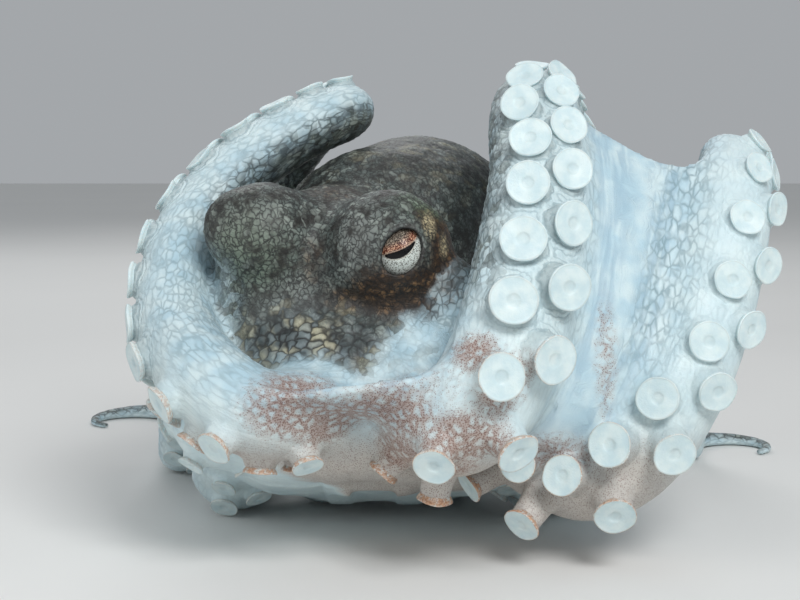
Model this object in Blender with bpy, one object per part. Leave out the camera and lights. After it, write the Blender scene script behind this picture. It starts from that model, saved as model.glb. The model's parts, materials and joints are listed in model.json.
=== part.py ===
"""Common octopus, life size, in a still pose: CAD solids.

Lengths are millimetres in the constants and metres in the meshes.  The animal looks along -Y,
its right arms lie towards -X and its left arms towards +X, and +Z is up from the floor.
"""
import math

import bmesh
import bpy
import numpy as np

MM = 0.001
GAP = 0.4                      # clearance between neighbouring solids
ARM_CUT_GAP = 0.45             # half the gap between two lengths of an arm
FLOOR_SNAP = 0.35              # anything this near the floor becomes a flat at floor level
FLOOR_ORIGIN = (6.863, 117.839)   # the middle of the footprint, where the model's origin lies

# Arm crown: eight arm roots on a ring round the mouth, the ring tilted towards the front
CROWN_CENTRE = np.array([-8.0, 8.0, 31.0])
CROWN_TILT = math.radians(20)
CROWN_RADIUS = 38.0
CROWN_BELOW = 12.5
CROWN_ABOVE = 13.5
MOUTH_RADIUS = 9.0
MOUTH_DEPTH = 3.0
RIGHT = np.array([1.0, 0.0, 0.0])
FORWARD = np.array([0.0, -math.cos(CROWN_TILT), math.sin(CROWN_TILT)])
MOUTHWARD = np.cross(RIGHT, FORWARD)

# Arms
ROOT_HALF_WIDTH = 15.2
ROOT_FLARE = 0.35
ROOT_LEAD = 7.0                # straight run out of the crown
TIP_HALF_WIDTH = 1.3
TAPER_POWER = 1.4
ARM_FLATNESS = 0.84            # half height over half width
RING_ANGLES = np.radians([0, 53, 105, 155, -155, -105, -53])
SUCKER_PITCH = 1.05            # over the local half width
SUCKER_INSET = 0.17
SUCKER_RISE = 0.22
STALK_REACH = 62.0             # how far out the stalked suckers near the mouth go
SUCKER_END = 0.62              # share of the arm that carries modelled suckers
FINE_STEP = 7.0
FAR_STEP = 13.0
CURL_SHARE = 0.24
STAGGER = 0.62                 # skew of the rings that staggers the two rows of suckers
DOWN = np.array([0.0, 0.0, -1.0])

# name: position round the ring (degrees from straight forward, left positive), half width,
# waypoints of the route (z 0 means laid on the floor), curl of the tip (length, turn in degrees),
# and where the sucker side faces at shares of the length
ARMS = {
    "r1": dict(
        angle=-22.5, half_width=15.5, stalk=0.12, curl=(70, 30),
        route=[(-40, -39, 46), (-54, -31, 54), (-64, -12, 63), (-68, 8, 77), (-65, 27, 94),
               (-53, 39, 110), (-35, 47, 123), (-19, 62, 130), (-32, 88, 124), (-47, 109, 96),
               (-47, 130, 56), (-38, 148, 20), (-33, 168, 0)],
        facing=[(0.10, (-0.5, -0.5, -0.7)), (0.22, (-1, -0.1, -0.2)), (0.38, (-0.6, 0.1, 0.8)),
                (0.50, (0.1, 0.6, 0.8)), (0.66, (-1, 0.4, 0)), (0.82, DOWN)]),
    "l1": dict(
        angle=22.5, half_width=17.3, stalk=0.3, curl=(70, -240),
        route=[(13, -42, 43), (21, -46, 49), (28, -43, 61), (34, -34, 78), (38, -22, 95),
               (41, -6, 111), (41, 14, 125), (44, 40, 132), (52, 72, 125), (65, 100, 102),
               (73, 118, 68), (77, 140, 24), (78, 160, 0)],
        facing=[(0.08, (0.1, -0.8, -0.6)), (0.2, (0.1, -1, 0.1)), (0.32, (0.1, -0.7, 0.7)),
                (0.48, (0.4, 0, 1)), (0.62, (1, 0.4, 0.2)), (0.74, (0.8, 0.2, -0.4)),
                (0.84, DOWN)]),
    "l2": dict(
        angle=67.5, half_width=16.2, stalk=0.5, curl=(70, -240),
        route=[(41, -13, 30), (53, -19, 24), (67, -23, 31), (81, -20, 51), (91, -10, 72),
               (98, 2, 92), (102, 15, 105), (106, 34, 113), (109, 58, 107), (109, 84, 76),
               (108, 104, 36), (110, 126, 0)],
        facing=[(0.07, (0, -0.4, -0.9)), (0.2, (0.4, -0.9, -0.1)), (0.34, (0.4, -0.8, 0.5)),
                (0.48, (0.7, -0.1, 0.8)), (0.62, (1, 0.2, 0)), (0.76, DOWN)]),
    "l3": dict(
        angle=112.5, half_width=15.5, stalk=0.0, curl=(110, -230),
        route=[(46, 34, 16), (54, 54, 0), (53, 82, 0), (47, 112, 0), (46, 142, 0),
               (48, 175, 0), (53, 215, 0)],
        facing=[(0.06, DOWN)]),
    "l4": dict(
        angle=157.5, half_width=15.0, stalk=0.0, curl=(100, -250),
        route=[(13, 60, 0), (18, 86, 0), (17, 114, 0), (15, 144, 0), (16, 176, 0),
               (20, 215, 0), (24, 256, 0)],
        facing=[(0.06, DOWN)]),
    "r4": dict(
        angle=-157.5, half_width=15.0, stalk=0.0, curl=(100, 250),
        route=[(-21, 63, 0), (-16, 90, 0), (-12, 116, 0), (-10, 146, 0), (-10, 180, 0),
               (-14, 218, 0), (-15, 256, 0)],
        facing=[(0.06, DOWN)]),
    "r3": dict(
        angle=-112.5, half_width=13.8, stalk=0.0, curl=(100, 230),
        route=[(-54, 42, 10), (-55, 64, 0), (-53, 92, 0), (-54, 122, 0), (-56, 152, 0),
               (-54, 184, 0), (-54, 216, 0)],
        facing=[(0.06, DOWN)]),
    "r2": dict(
        angle=-67.5, half_width=13.2, stalk=0.0, curl=(85, 240),
        route=[(-55, -5, 34), (-61, 8, 43), (-63, 27, 52), (-67, 52, 48), (-74, 79, 29),
               (-80, 107, 3), (-83, 134, 0), (-86, 158, 0), (-89, 182, 0)],
        facing=[(0.10, (-0.7, 0, -0.7)), (0.3, DOWN)]),
}
LENGTHS = 4
CUT_SHARES = (0.22, 0.45, 0.70)

# Webs between neighbours: where the sheet starts along the arms, how far it reaches along the
# left and right one, and how deep its edge sags in
WEBS = {("r1", "l1"): (10, 27, 36, 0.30), ("l1", "l2"): (24, 150, 150, 0.10),
        ("l2", "l3"): (10, 38, 38, 0.30), ("l3", "l4"): (10, 56, 34, 0.15),
        ("l4", "r4"): (10, 40, 40, 0.20), ("r4", "r3"): (10, 34, 46, 0.15),
        ("r3", "r2"): (14, 30, 30, 0.15), ("r2", "r1"): (10, 24, 30, 0.20)}
WEB_THICKNESS = 2.6
WEB_ROW = 15.0
WEB_COLUMNS = 4
WEB_ROOT = 0.7                 # where the sheet starts inside an arm, over its half width
WEB_BULGE = 0.3
WEB_CLEARANCE = 1.0
WELD = 0.01

# Head, eyes and mantle
HEAD_LOBES = [((-21, 15, 75), (27, 26, 33)), ((-10, 12, 45), (33, 31, 22)),
              ((-29, 7, 68), (22, 22, 26)), ((-3.3, -8.5, 89), (18.5, 17.5, 18.5)),
              ((-41, -1, 94), (15.5, 16, 15.5)), ((-38, 4, 62), (16, 17, 19)),
              ((-46, 8, 74), (11, 12, 14)), ((2, -12, 55), (24, 18, 17)),
              ((18, -13, 68), (11, 15, 18)), ((-22, -12, 54), (22, 17, 15))]
HEAD_SEED = np.array([-20.0, 10.0, 70.0])
HEAD_TRIM = [("r1", 70), ("l1", 70), ("r2", 50), ("l2", 30)]   # arms it lies against, and how far
EYES = {"eye_l": ((-0.2, -17.8, 90.0), 8.6), "eye_r": ((-49.0, -3.2, 96.0), 8.0)}
NECK_POINT = np.array([-8.0, 36.0, 76.0])
NECK_NORMAL = np.array([0.25, 0.968, 0.0])
MANTLE_CENTRE = np.array([7.0, 88.0, 83.5])
MANTLE_AXIS = np.array([0.14, 0.97, -0.18])
MANTLE_HALF = (39.0, 63.0, 38.0)
MANTLE_NECK = ((-9.0, 46.0, 88.0), (31.0, 24.0, 30.0))
FUNNEL_START = np.array([-16.0, 52.0, 58.0])
FUNNEL_END = np.array([-45.0, 45.0, 60.0])
FUNNEL_RADII = (9.5, 5.0)
FUNNEL_RECESS = 3.0

COLOURS = {"skin": (0.42, 0.40, 0.38), "web": (0.62, 0.66, 0.70), "eye": (0.72, 0.70, 0.64)}


def unit(vector):
    return vector / np.linalg.norm(vector)


def spline(points, per_span=16):
    """Catmull-Rom curve through the points."""
    padded = [2 * points[0] - points[1]] + list(points) + [2 * points[-1] - points[-2]]
    curve = []
    for before, start, end, after in zip(padded, padded[1:], padded[2:], padded[3:]):
        for step in range(per_span):
            t = step / per_span
            curve.append(0.5 * (2 * start + (end - before) * t
                                + (2 * before - 5 * start + 4 * end - after) * t * t
                                + (3 * start - before - 3 * end + after) * t ** 3))
    curve.append(points[-1])
    return np.array(curve)


def distances(curve):
    return np.concatenate([[0], np.cumsum(np.linalg.norm(np.diff(curve, axis=0), axis=1))])


class Arm:
    """Centre line, widths and frames of one arm."""

    def __init__(self, angle, half_width, stalk, curl, route, facing):
        turn = math.radians(angle)
        outward = FORWARD * math.cos(turn) + RIGHT * math.sin(turn)
        root = CROWN_CENTRE + CROWN_RADIUS * outward
        lead = root + outward * ROOT_LEAD
        curve = spline([root, lead] + [np.array(point, float) for point in route])
        heading = unit((curve[-1] - curve[-6]) * (1, 1, 0))
        start_angle = math.atan2(heading[1], heading[0])
        curl_length, curl_turn = curl
        steps = int(curl_length / 3.0)
        tail = [curve[-1]]
        for step in range(steps):
            share = (step + 0.5) / steps
            bearing = start_angle + math.radians(curl_turn) * share ** 1.8
            tail.append(tail[-1] + 3.0 * np.array([math.cos(bearing), math.sin(bearing), 0]))
        curve = np.vstack([curve, tail[1:]])
        raw = distances(curve)
        self.length = raw[-1]
        self.half_width = half_width
        self.stalk = stalk
        self.stations = np.linspace(0, self.length, int(self.length / 2.0))
        line = np.stack([np.interp(self.stations, raw, curve[:, axis]) for axis in range(3)], 1)
        rest = self.half_height(self.stations)
        soft = 4.0
        excess = line[:, 2] - rest
        line[:, 2] = rest + 0.5 * (excess + np.sqrt(excess ** 2 + soft ** 2)) - 0.5 * soft * np.exp(
            -np.maximum(excess, 0) / soft)
        line[:, 2] = np.maximum(line[:, 2], rest)
        kernel = np.array([1, 2, 3, 2, 1]) / 9.0
        smooth = line.copy()
        for axis in range(3):
            smooth[2:-2, axis] = np.convolve(line[:, axis], kernel, "valid")
        self.line = smooth
        self.tangents = np.gradient(self.line, axis=0)
        self.tangents[:3] = outward
        self.tangents /= np.linalg.norm(self.tangents, axis=1)[:, None]
        shares = [0.0] + [share for share, _ in facing]
        looks = [MOUTHWARD] + [unit(np.array(look, float)) for _, look in facing]
        along = self.stations / self.length
        look = np.stack([np.interp(along, shares, [v[axis] for v in looks])
                         for axis in range(3)], 1)
        look -= self.tangents * np.sum(look * self.tangents, axis=1)[:, None]
        self.oral = look / np.linalg.norm(look, axis=1)[:, None]
        self.side = np.cross(self.tangents, self.oral)

    def width(self, s):
        share = np.clip(np.asarray(s) / self.length, 0, 1)
        full = (self.half_width - TIP_HALF_WIDTH) * (1 - share ** TAPER_POWER) + TIP_HALF_WIDTH
        return np.minimum(full, ROOT_HALF_WIDTH + ROOT_FLARE * np.asarray(s))

    def half_height(self, s):
        return self.width(s) * ARM_FLATNESS

    def rise(self, s):
        """Height of a sucker over the local half width."""
        return SUCKER_RISE + self.stalk * math.exp(-(s / STALK_REACH) ** 4)

    def sample(self, values, s):
        return np.array([np.interp(s, self.stations, values[:, axis]) for axis in range(3)])

    def point(self, s, across, oral):
        """Position at s along the arm, across to its side and towards its sucker side."""
        s = min(max(s, 0.0), self.length)
        return (self.sample(self.line, s) + across * unit(self.sample(self.side, s))
                + oral * unit(self.sample(self.oral, s)))

    def ring(self, s, skew, grow=0.0):
        width = float(self.width(s)) + grow
        height = float(self.half_height(s)) + grow
        points = []
        for angle in RING_ANGLES:
            across = width * math.sin(angle)
            shifted = s - skew * math.sin(angle)
            points.append(self.point(shifted, across, height * math.cos(angle)))
        return points

    def ring_stations(self):
        """Stations of the rings; one sucker pair lies between two rings on the first part."""
        found = [0.0]
        while found[-1] < self.length * SUCKER_END:
            found.append(found[-1] + SUCKER_PITCH * float(self.width(found[-1] + 6)))
        pairs = len(found) - 1
        while found[-1] < self.length - FINE_STEP:
            far = found[-1] < self.length * (1 - CURL_SHARE)
            found.append(found[-1] + (FAR_STEP if far else FINE_STEP))
        found[-1] = self.length
        return found, pairs

    def ring_skews(self, stations):
        skews = []
        for index, s in enumerate(stations):
            ramp = min(1.0, index / 2.0) * min(1.0, (len(stations) - 1 - index) / 4.0)
            skews.append(STAGGER * SUCKER_PITCH * float(self.width(s)) * ramp)
        return skews


def material(name, colour, roughness):
    made = bpy.data.materials.new(name)
    made.use_nodes = True
    shader = made.node_tree.nodes["Principled BSDF"]
    shader.inputs["Base Color"].default_value = (*colour, 1)
    shader.inputs["Roughness"].default_value = roughness
    return made


def finish(name, mesh, slot):
    """Turn a bmesh in millimetres into one named object in metres."""
    for vertex in mesh.verts:
        if vertex.co.z < FLOOR_SNAP:
            vertex.co.z = 0.0
        vertex.co.x -= FLOOR_ORIGIN[0]
        vertex.co.y -= FLOOR_ORIGIN[1]
        vertex.co *= MM
    bmesh.ops.recalc_face_normals(mesh, faces=mesh.faces)
    if mesh.calc_volume(signed=True) < 0:
        bmesh.ops.reverse_faces(mesh, faces=mesh.faces)
    data = bpy.data.meshes.new(name)
    mesh.to_mesh(data)
    mesh.free()
    data.materials.append(material(name, COLOURS[slot], 0.25 if slot == "eye" else 0.6))
    made = bpy.data.objects.new(name, data)
    bpy.context.collection.objects.link(made)
    return made


def tube(arm, stations, skews, sucker_pairs=0, grow=0.0):
    """Closed sweep of skewed rings, with the faces that will carry suckers."""
    mesh = bmesh.new()
    rings = [[mesh.verts.new(point) for point in arm.ring(s, skew, grow)]
             for s, skew in zip(stations, skews)]
    count = len(RING_ANGLES)
    pads = []
    for index, (near, far) in enumerate(zip(rings, rings[1:])):
        for corner in range(count):
            after = (corner + 1) % count
            face = mesh.faces.new((near[corner], near[after], far[after], far[corner]))
            if index < sucker_pairs and corner in (0, count - 1):
                pads.append(face)
    for ring, s in ((rings[0], stations[0]), (rings[-1], stations[-1])):
        centre = mesh.verts.new(arm.point(s, 0, 0))
        for corner in range(count):
            mesh.faces.new((ring[corner], ring[(corner + 1) % count], centre))
    bmesh.ops.recalc_face_normals(mesh, faces=mesh.faces)
    return mesh, pads


def arm_length(name, arm, stations, skews, sucker_pairs):
    """One length of an arm with its raised sucker pads."""
    mesh, pads = tube(arm, stations, skews, sucker_pairs)
    for face in pads:
        middle = np.array(face.calc_center_median())
        near = np.argmin(np.linalg.norm(arm.line - middle, axis=1))
        s = float(arm.stations[near])
        width = float(arm.width(s))
        bmesh.ops.inset_individual(mesh, faces=[face], thickness=SUCKER_INSET * width,
                                   depth=arm.rise(s) * width, use_even_offset=True)
    return finish(name, mesh, "skin")


def build_arm(key, arm):
    stations, pairs = arm.ring_stations()
    skews = arm.ring_skews(stations)
    cuts = [0]
    for share in CUT_SHARES:
        cuts.append(int(np.argmin(np.abs(np.array(stations) - share * arm.length))))
    cuts.append(len(stations) - 1)
    for number, (first, last) in enumerate(zip(cuts, cuts[1:]), start=1):
        part = list(stations[first:last + 1])
        if first:
            part[0] += ARM_CUT_GAP
        if number < LENGTHS:
            part[-1] -= ARM_CUT_GAP
        arm_length(f"arm_{key}_{number}", arm, part, skews[first:last + 1],
                   max(0, pairs - first))


def web_sheet(left, right, start_at, left_reach, right_reach, sag):
    """Sheet from inside one arm to inside its neighbour, bulging between their side lines."""
    rows = max(3, int(round((max(left_reach, right_reach) - start_at) / WEB_ROW)) + 1)
    mesh = bmesh.new()
    layers = [[], []]
    for row in range(rows):
        line = [[], []]
        for column in range(WEB_COLUMNS + 1):
            u = column / WEB_COLUMNS
            share = (1 - sag * 4 * u * (1 - u)) * row / (rows - 1)
            s = start_at + (left_reach - start_at) * share
            t = start_at + (right_reach - start_at) * share
            start = left.point(s, WEB_ROOT * float(left.width(s)), 0)
            end = right.point(t, -WEB_ROOT * float(right.width(t)), 0)
            reach = WEB_BULGE * np.linalg.norm(end - start)
            from_left = start + reach * unit(left.sample(left.side, s))
            from_right = end - reach * unit(right.sample(right.side, t))
            middle = ((1 - u) ** 3 * start + 3 * u * (1 - u) ** 2 * from_left
                      + 3 * u * u * (1 - u) * from_right + u ** 3 * end)
            across = unit(end - start)
            thick = left.sample(left.oral, s) * (1 - u) + right.sample(right.oral, t) * u
            thick = unit(thick - across * np.dot(thick, across))
            for side, sign in enumerate((-0.5, 0.5)):
                line[side].append(mesh.verts.new(middle + sign * WEB_THICKNESS * thick))
        for side in (0, 1):
            layers[side].append(line[side])
    for side in (0, 1):
        for near, far in zip(layers[side], layers[side][1:]):
            for column in range(WEB_COLUMNS):
                mesh.faces.new((near[column], near[column + 1], far[column + 1], far[column]))
    lower, upper = layers
    rim = ([(row, 0) for row in range(rows)]
           + [(rows - 1, column) for column in range(1, WEB_COLUMNS + 1)]
           + [(row, WEB_COLUMNS) for row in range(rows - 2, -1, -1)]
           + [(0, column) for column in range(WEB_COLUMNS - 1, 0, -1)])
    for (row_a, col_a), (row_b, col_b) in zip(rim, rim[1:] + rim[:1]):
        mesh.faces.new((lower[row_a][col_a], lower[row_b][col_b],
                        upper[row_b][col_b], upper[row_a][col_a]))
    return mesh


def keep_largest(made):
    """Keep only the largest of an object's separate pieces."""
    mesh = bmesh.new()
    mesh.from_mesh(made.data)
    bmesh.ops.triangulate(mesh, faces=mesh.faces)
    islands = []
    waiting = set(mesh.faces)
    while waiting:
        island = [waiting.pop()]
        for face in island:
            for edge in face.edges:
                if len(edge.link_faces) == 2:
                    for other in edge.link_faces:
                        if other in waiting:
                            waiting.remove(other)
                            island.append(other)
        islands.append(island)
    islands.sort(key=lambda island: sum(face.calc_area() for face in island))
    for island in islands[:-1]:
        bmesh.ops.delete(mesh, geom=island, context="FACES")
    bmesh.ops.dissolve_degenerate(mesh, dist=WELD * MM, edges=mesh.edges)
    mesh.to_mesh(made.data)
    mesh.free()


def arm_cutter(arm, reach):
    """An arm's first part, a little thicker, for trimming what lies against it."""
    stations, _ = arm.ring_stations()
    skews = arm.ring_skews(stations)
    last = 2 + sum(s < reach + 20 for s in stations)
    return tube(arm, stations[:last], skews[:last], grow=WEB_CLEARANCE)[0]


def build_web(name, left, right, shape):
    """Sheet between two neighbouring arms, trimmed to fit along both arms and the crown."""
    web = finish(name, web_sheet(left, right, *shape), "web")
    for arm, reach in ((left, shape[1]), (right, shape[2])):
        subtract(web, arm_cutter(arm, reach))
    subtract(web, crown_mesh(GAP))
    keep_largest(web)


def crown_mesh(grow=0.0):
    """Eight-sided hub between the arm roots, with the mouth hollow below."""
    mesh = bmesh.new()
    apothem = CROWN_RADIUS - 3 * GAP + grow
    corner = apothem / math.cos(math.pi / 8)
    levels = [(-CROWN_ABOVE, 0.90), (-CROWN_ABOVE + 4, 1.0), (CROWN_BELOW - 4, 1.0),
              (CROWN_BELOW, 0.86)]
    rings = []
    for depth, scale in levels:
        ring = []
        for index in range(8):
            turn = index * math.pi / 4
            spoke = FORWARD * math.cos(turn) + RIGHT * math.sin(turn)
            ring.append(mesh.verts.new(CROWN_CENTRE + MOUTHWARD * depth
                                       + spoke * corner * scale))
        rings.append(ring)
    for radius, depth in ((MOUTH_RADIUS, CROWN_BELOW), (MOUTH_RADIUS * 0.5,
                                                         CROWN_BELOW - MOUTH_DEPTH)):
        ring = []
        for index in range(8):
            turn = index * math.pi / 4
            spoke = FORWARD * math.cos(turn) + RIGHT * math.sin(turn)
            ring.append(mesh.verts.new(CROWN_CENTRE + MOUTHWARD * depth + spoke * radius))
        rings.append(ring)
    for near, far in zip(rings, rings[1:]):
        for index in range(8):
            after = (index + 1) % 8
            mesh.faces.new((near[index], near[after], far[after], far[index]))
    mesh.faces.new(rings[0])
    mesh.faces.new(list(reversed(rings[-1])))
    return mesh


def lobe_reach(seed, direction, centre, radii, turn=np.eye(3)):
    """Distance from the seed along the direction to the far side of an ellipsoid, or 0."""
    start = turn @ (seed - np.array(centre, float)) / np.array(radii)
    way = turn @ direction / np.array(radii)
    a = way @ way
    b = start @ way
    c = start @ start - 1
    root = b * b - a * c
    if root < 0:
        return 0.0
    return max(0.0, (-b + math.sqrt(root)) / a)


def lobed_body(seed, lobes):
    """Closed mesh round the seed that follows the outermost of several ellipsoids."""
    mesh = bmesh.new()
    bmesh.ops.create_icosphere(mesh, subdivisions=3, radius=1.0)
    for vertex in mesh.verts:
        direction = unit(np.array(vertex.co))
        reach = max(lobe_reach(seed, direction, *lobe) for lobe in lobes)
        vertex.co = seed + direction * reach
    return mesh


def cut(mesh, point, normal):
    """Remove everything on the side the normal points to and close the cut."""
    everything = mesh.verts[:] + mesh.edges[:] + mesh.faces[:]
    bmesh.ops.bisect_plane(mesh, geom=everything, plane_co=point, plane_no=normal,
                           clear_outer=True)
    rim = [edge for edge in mesh.edges if edge.is_boundary]
    bmesh.ops.holes_fill(mesh, edges=rim)


def ball(centre, radius):
    mesh = bmesh.new()
    bmesh.ops.create_icosphere(mesh, subdivisions=2, radius=radius)
    bmesh.ops.translate(mesh, vec=centre, verts=mesh.verts)
    return mesh


def subtract(body, cutter_mesh):
    cutter = finish("cutter", cutter_mesh, "eye")
    cutter.hide_render = True
    cutter.display_type = "WIRE"
    step = body.modifiers.new("socket", "BOOLEAN")
    step.operation = "DIFFERENCE"
    step.solver = "EXACT"
    step.use_self = True
    step.object = cutter
    bpy.context.view_layer.update()
    graph = bpy.context.evaluated_depsgraph_get()
    shaped = bpy.data.meshes.new_from_object(body.evaluated_get(graph))
    body.modifiers.clear()
    body.data = shaped
    bpy.data.objects.remove(cutter, do_unlink=True)


def grown(lobes, grow):
    return [(lobe[0], tuple(np.array(lobe[1]) + grow), *lobe[2:]) for lobe in lobes]


def head_mesh(grow=0.0):
    mesh = lobed_body(HEAD_SEED, grown(HEAD_LOBES, grow))
    crown_top = CROWN_CENTRE - MOUTHWARD * (CROWN_ABOVE + GAP - grow)
    cut(mesh, crown_top, MOUTHWARD)
    cut(mesh, NECK_POINT, NECK_NORMAL)
    return mesh


def build_head(arms):
    head = finish("head", head_mesh(), "skin")
    for key, reach in HEAD_TRIM:
        subtract(head, arm_cutter(arms[key], reach))
    keep_largest(head)
    for centre, radius in EYES.values():
        subtract(head, ball(centre, radius + GAP))
    return head


def mantle_mesh(grow=0.0):
    axis = unit(MANTLE_AXIS)
    side = unit(np.cross(axis, (0, 0, 1)))
    turn = np.array([side, axis, np.cross(side, axis)])
    lobes = [(MANTLE_CENTRE, MANTLE_HALF, turn), MANTLE_NECK]
    mesh = lobed_body(MANTLE_CENTRE, grown(lobes, grow))
    cut(mesh, NECK_POINT + NECK_NORMAL * GAP, -NECK_NORMAL)
    return mesh


def build_funnel():
    """Short tapering spout with a shallow opening."""
    axis = unit(FUNNEL_END - FUNNEL_START)
    side = unit(np.cross(axis, (0, 0, 1)))
    top = np.cross(side, axis)
    mesh = bmesh.new()
    rings = []
    for point, radius in ((FUNNEL_START, FUNNEL_RADII[0] * 0.8),
                          (FUNNEL_START + axis * 5, FUNNEL_RADII[0]),
                          (FUNNEL_END, FUNNEL_RADII[1]),
                          (FUNNEL_END, FUNNEL_RADII[1] * 0.6),
                          (FUNNEL_END - axis * FUNNEL_RECESS, FUNNEL_RADII[1] * 0.5)):
        ring = []
        for index in range(8):
            turn = index * math.pi / 4
            ring.append(mesh.verts.new(point + radius * (side * math.cos(turn)
                                                         + top * math.sin(turn))))
        rings.append(ring)
    for near, far in zip(rings, rings[1:]):
        for index in range(8):
            after = (index + 1) % 8
            mesh.faces.new((near[index], near[after], far[after], far[index]))
    mesh.faces.new(rings[0])
    mesh.faces.new(list(reversed(rings[-1])))
    funnel = finish("funnel", mesh, "skin")
    subtract(funnel, mantle_mesh(WEB_CLEARANCE))
    subtract(funnel, head_mesh(WEB_CLEARANCE))
    keep_largest(funnel)
    return funnel


def main():
    for existing in list(bpy.data.objects):
        bpy.data.objects.remove(existing, do_unlink=True)
    arms = {key: Arm(**values) for key, values in ARMS.items()}
    for key, arm in arms.items():
        build_arm(key, arm)
    for (left, right), shape in WEBS.items():
        build_web(f"web_{left}_{right}", arms[left], arms[right], shape)
    finish("crown", crown_mesh(), "skin")
    build_head(arms)
    finish("mantle", mantle_mesh(), "skin")
    build_funnel()
    for name, (centre, radius) in EYES.items():
        finish(name, ball(centre, radius), "eye")


main()
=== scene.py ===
"""Looks of a life-size octopus: one skin over the CAD frame, suckers, eyes, floor, light, camera.

Shapes are worked out in millimetres in the frame of the CAD source and then placed in metres.
"""
import functools
import json
import math

import bpy
import numpy as np
import openvdb
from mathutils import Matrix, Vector

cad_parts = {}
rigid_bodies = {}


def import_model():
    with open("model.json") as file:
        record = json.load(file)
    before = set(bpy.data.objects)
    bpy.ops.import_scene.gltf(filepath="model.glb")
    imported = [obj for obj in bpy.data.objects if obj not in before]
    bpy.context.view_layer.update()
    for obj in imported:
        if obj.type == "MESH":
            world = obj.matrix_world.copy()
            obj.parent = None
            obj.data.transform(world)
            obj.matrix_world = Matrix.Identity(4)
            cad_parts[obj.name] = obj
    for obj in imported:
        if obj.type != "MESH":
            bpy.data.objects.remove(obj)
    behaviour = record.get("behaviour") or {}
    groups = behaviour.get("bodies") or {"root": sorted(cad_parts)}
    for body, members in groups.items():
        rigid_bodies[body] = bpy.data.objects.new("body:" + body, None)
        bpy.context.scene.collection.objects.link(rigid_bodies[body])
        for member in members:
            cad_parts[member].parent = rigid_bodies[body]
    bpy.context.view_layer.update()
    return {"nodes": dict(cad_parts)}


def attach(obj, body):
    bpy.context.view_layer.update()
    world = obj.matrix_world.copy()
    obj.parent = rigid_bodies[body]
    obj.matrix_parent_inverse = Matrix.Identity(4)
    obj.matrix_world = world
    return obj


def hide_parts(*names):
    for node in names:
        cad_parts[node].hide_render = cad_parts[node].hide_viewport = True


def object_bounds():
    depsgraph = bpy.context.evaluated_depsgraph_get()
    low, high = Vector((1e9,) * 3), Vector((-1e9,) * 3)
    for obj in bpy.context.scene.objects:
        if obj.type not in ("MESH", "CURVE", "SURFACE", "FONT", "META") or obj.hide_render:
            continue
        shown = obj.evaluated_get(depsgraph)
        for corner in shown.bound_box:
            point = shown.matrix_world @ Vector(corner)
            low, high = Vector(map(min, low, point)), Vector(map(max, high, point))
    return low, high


MM = 0.001
FLOOR_ORIGIN = np.array([6.863, 117.839, 0.0])

# Arm crown
CROWN_CENTRE = np.array([-8.0, 8.0, 31.0])
CROWN_TILT = math.radians(20)
CROWN_RADIUS = 38.0
CROWN_HALF_HEIGHT = 13.0
CROWN_ROUNDING = 6.0
LIP_RADIUS = 8.0
LIP_HALF_WIDTH = 2.2
MOUTH_RADIUS = 5.0
MOUTH_SOFT = 2.0
RIGHT = np.array([1.0, 0.0, 0.0])
FORWARD = np.array([0.0, -math.cos(CROWN_TILT), math.sin(CROWN_TILT)])
MOUTHWARD = np.cross(RIGHT, FORWARD)

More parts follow.
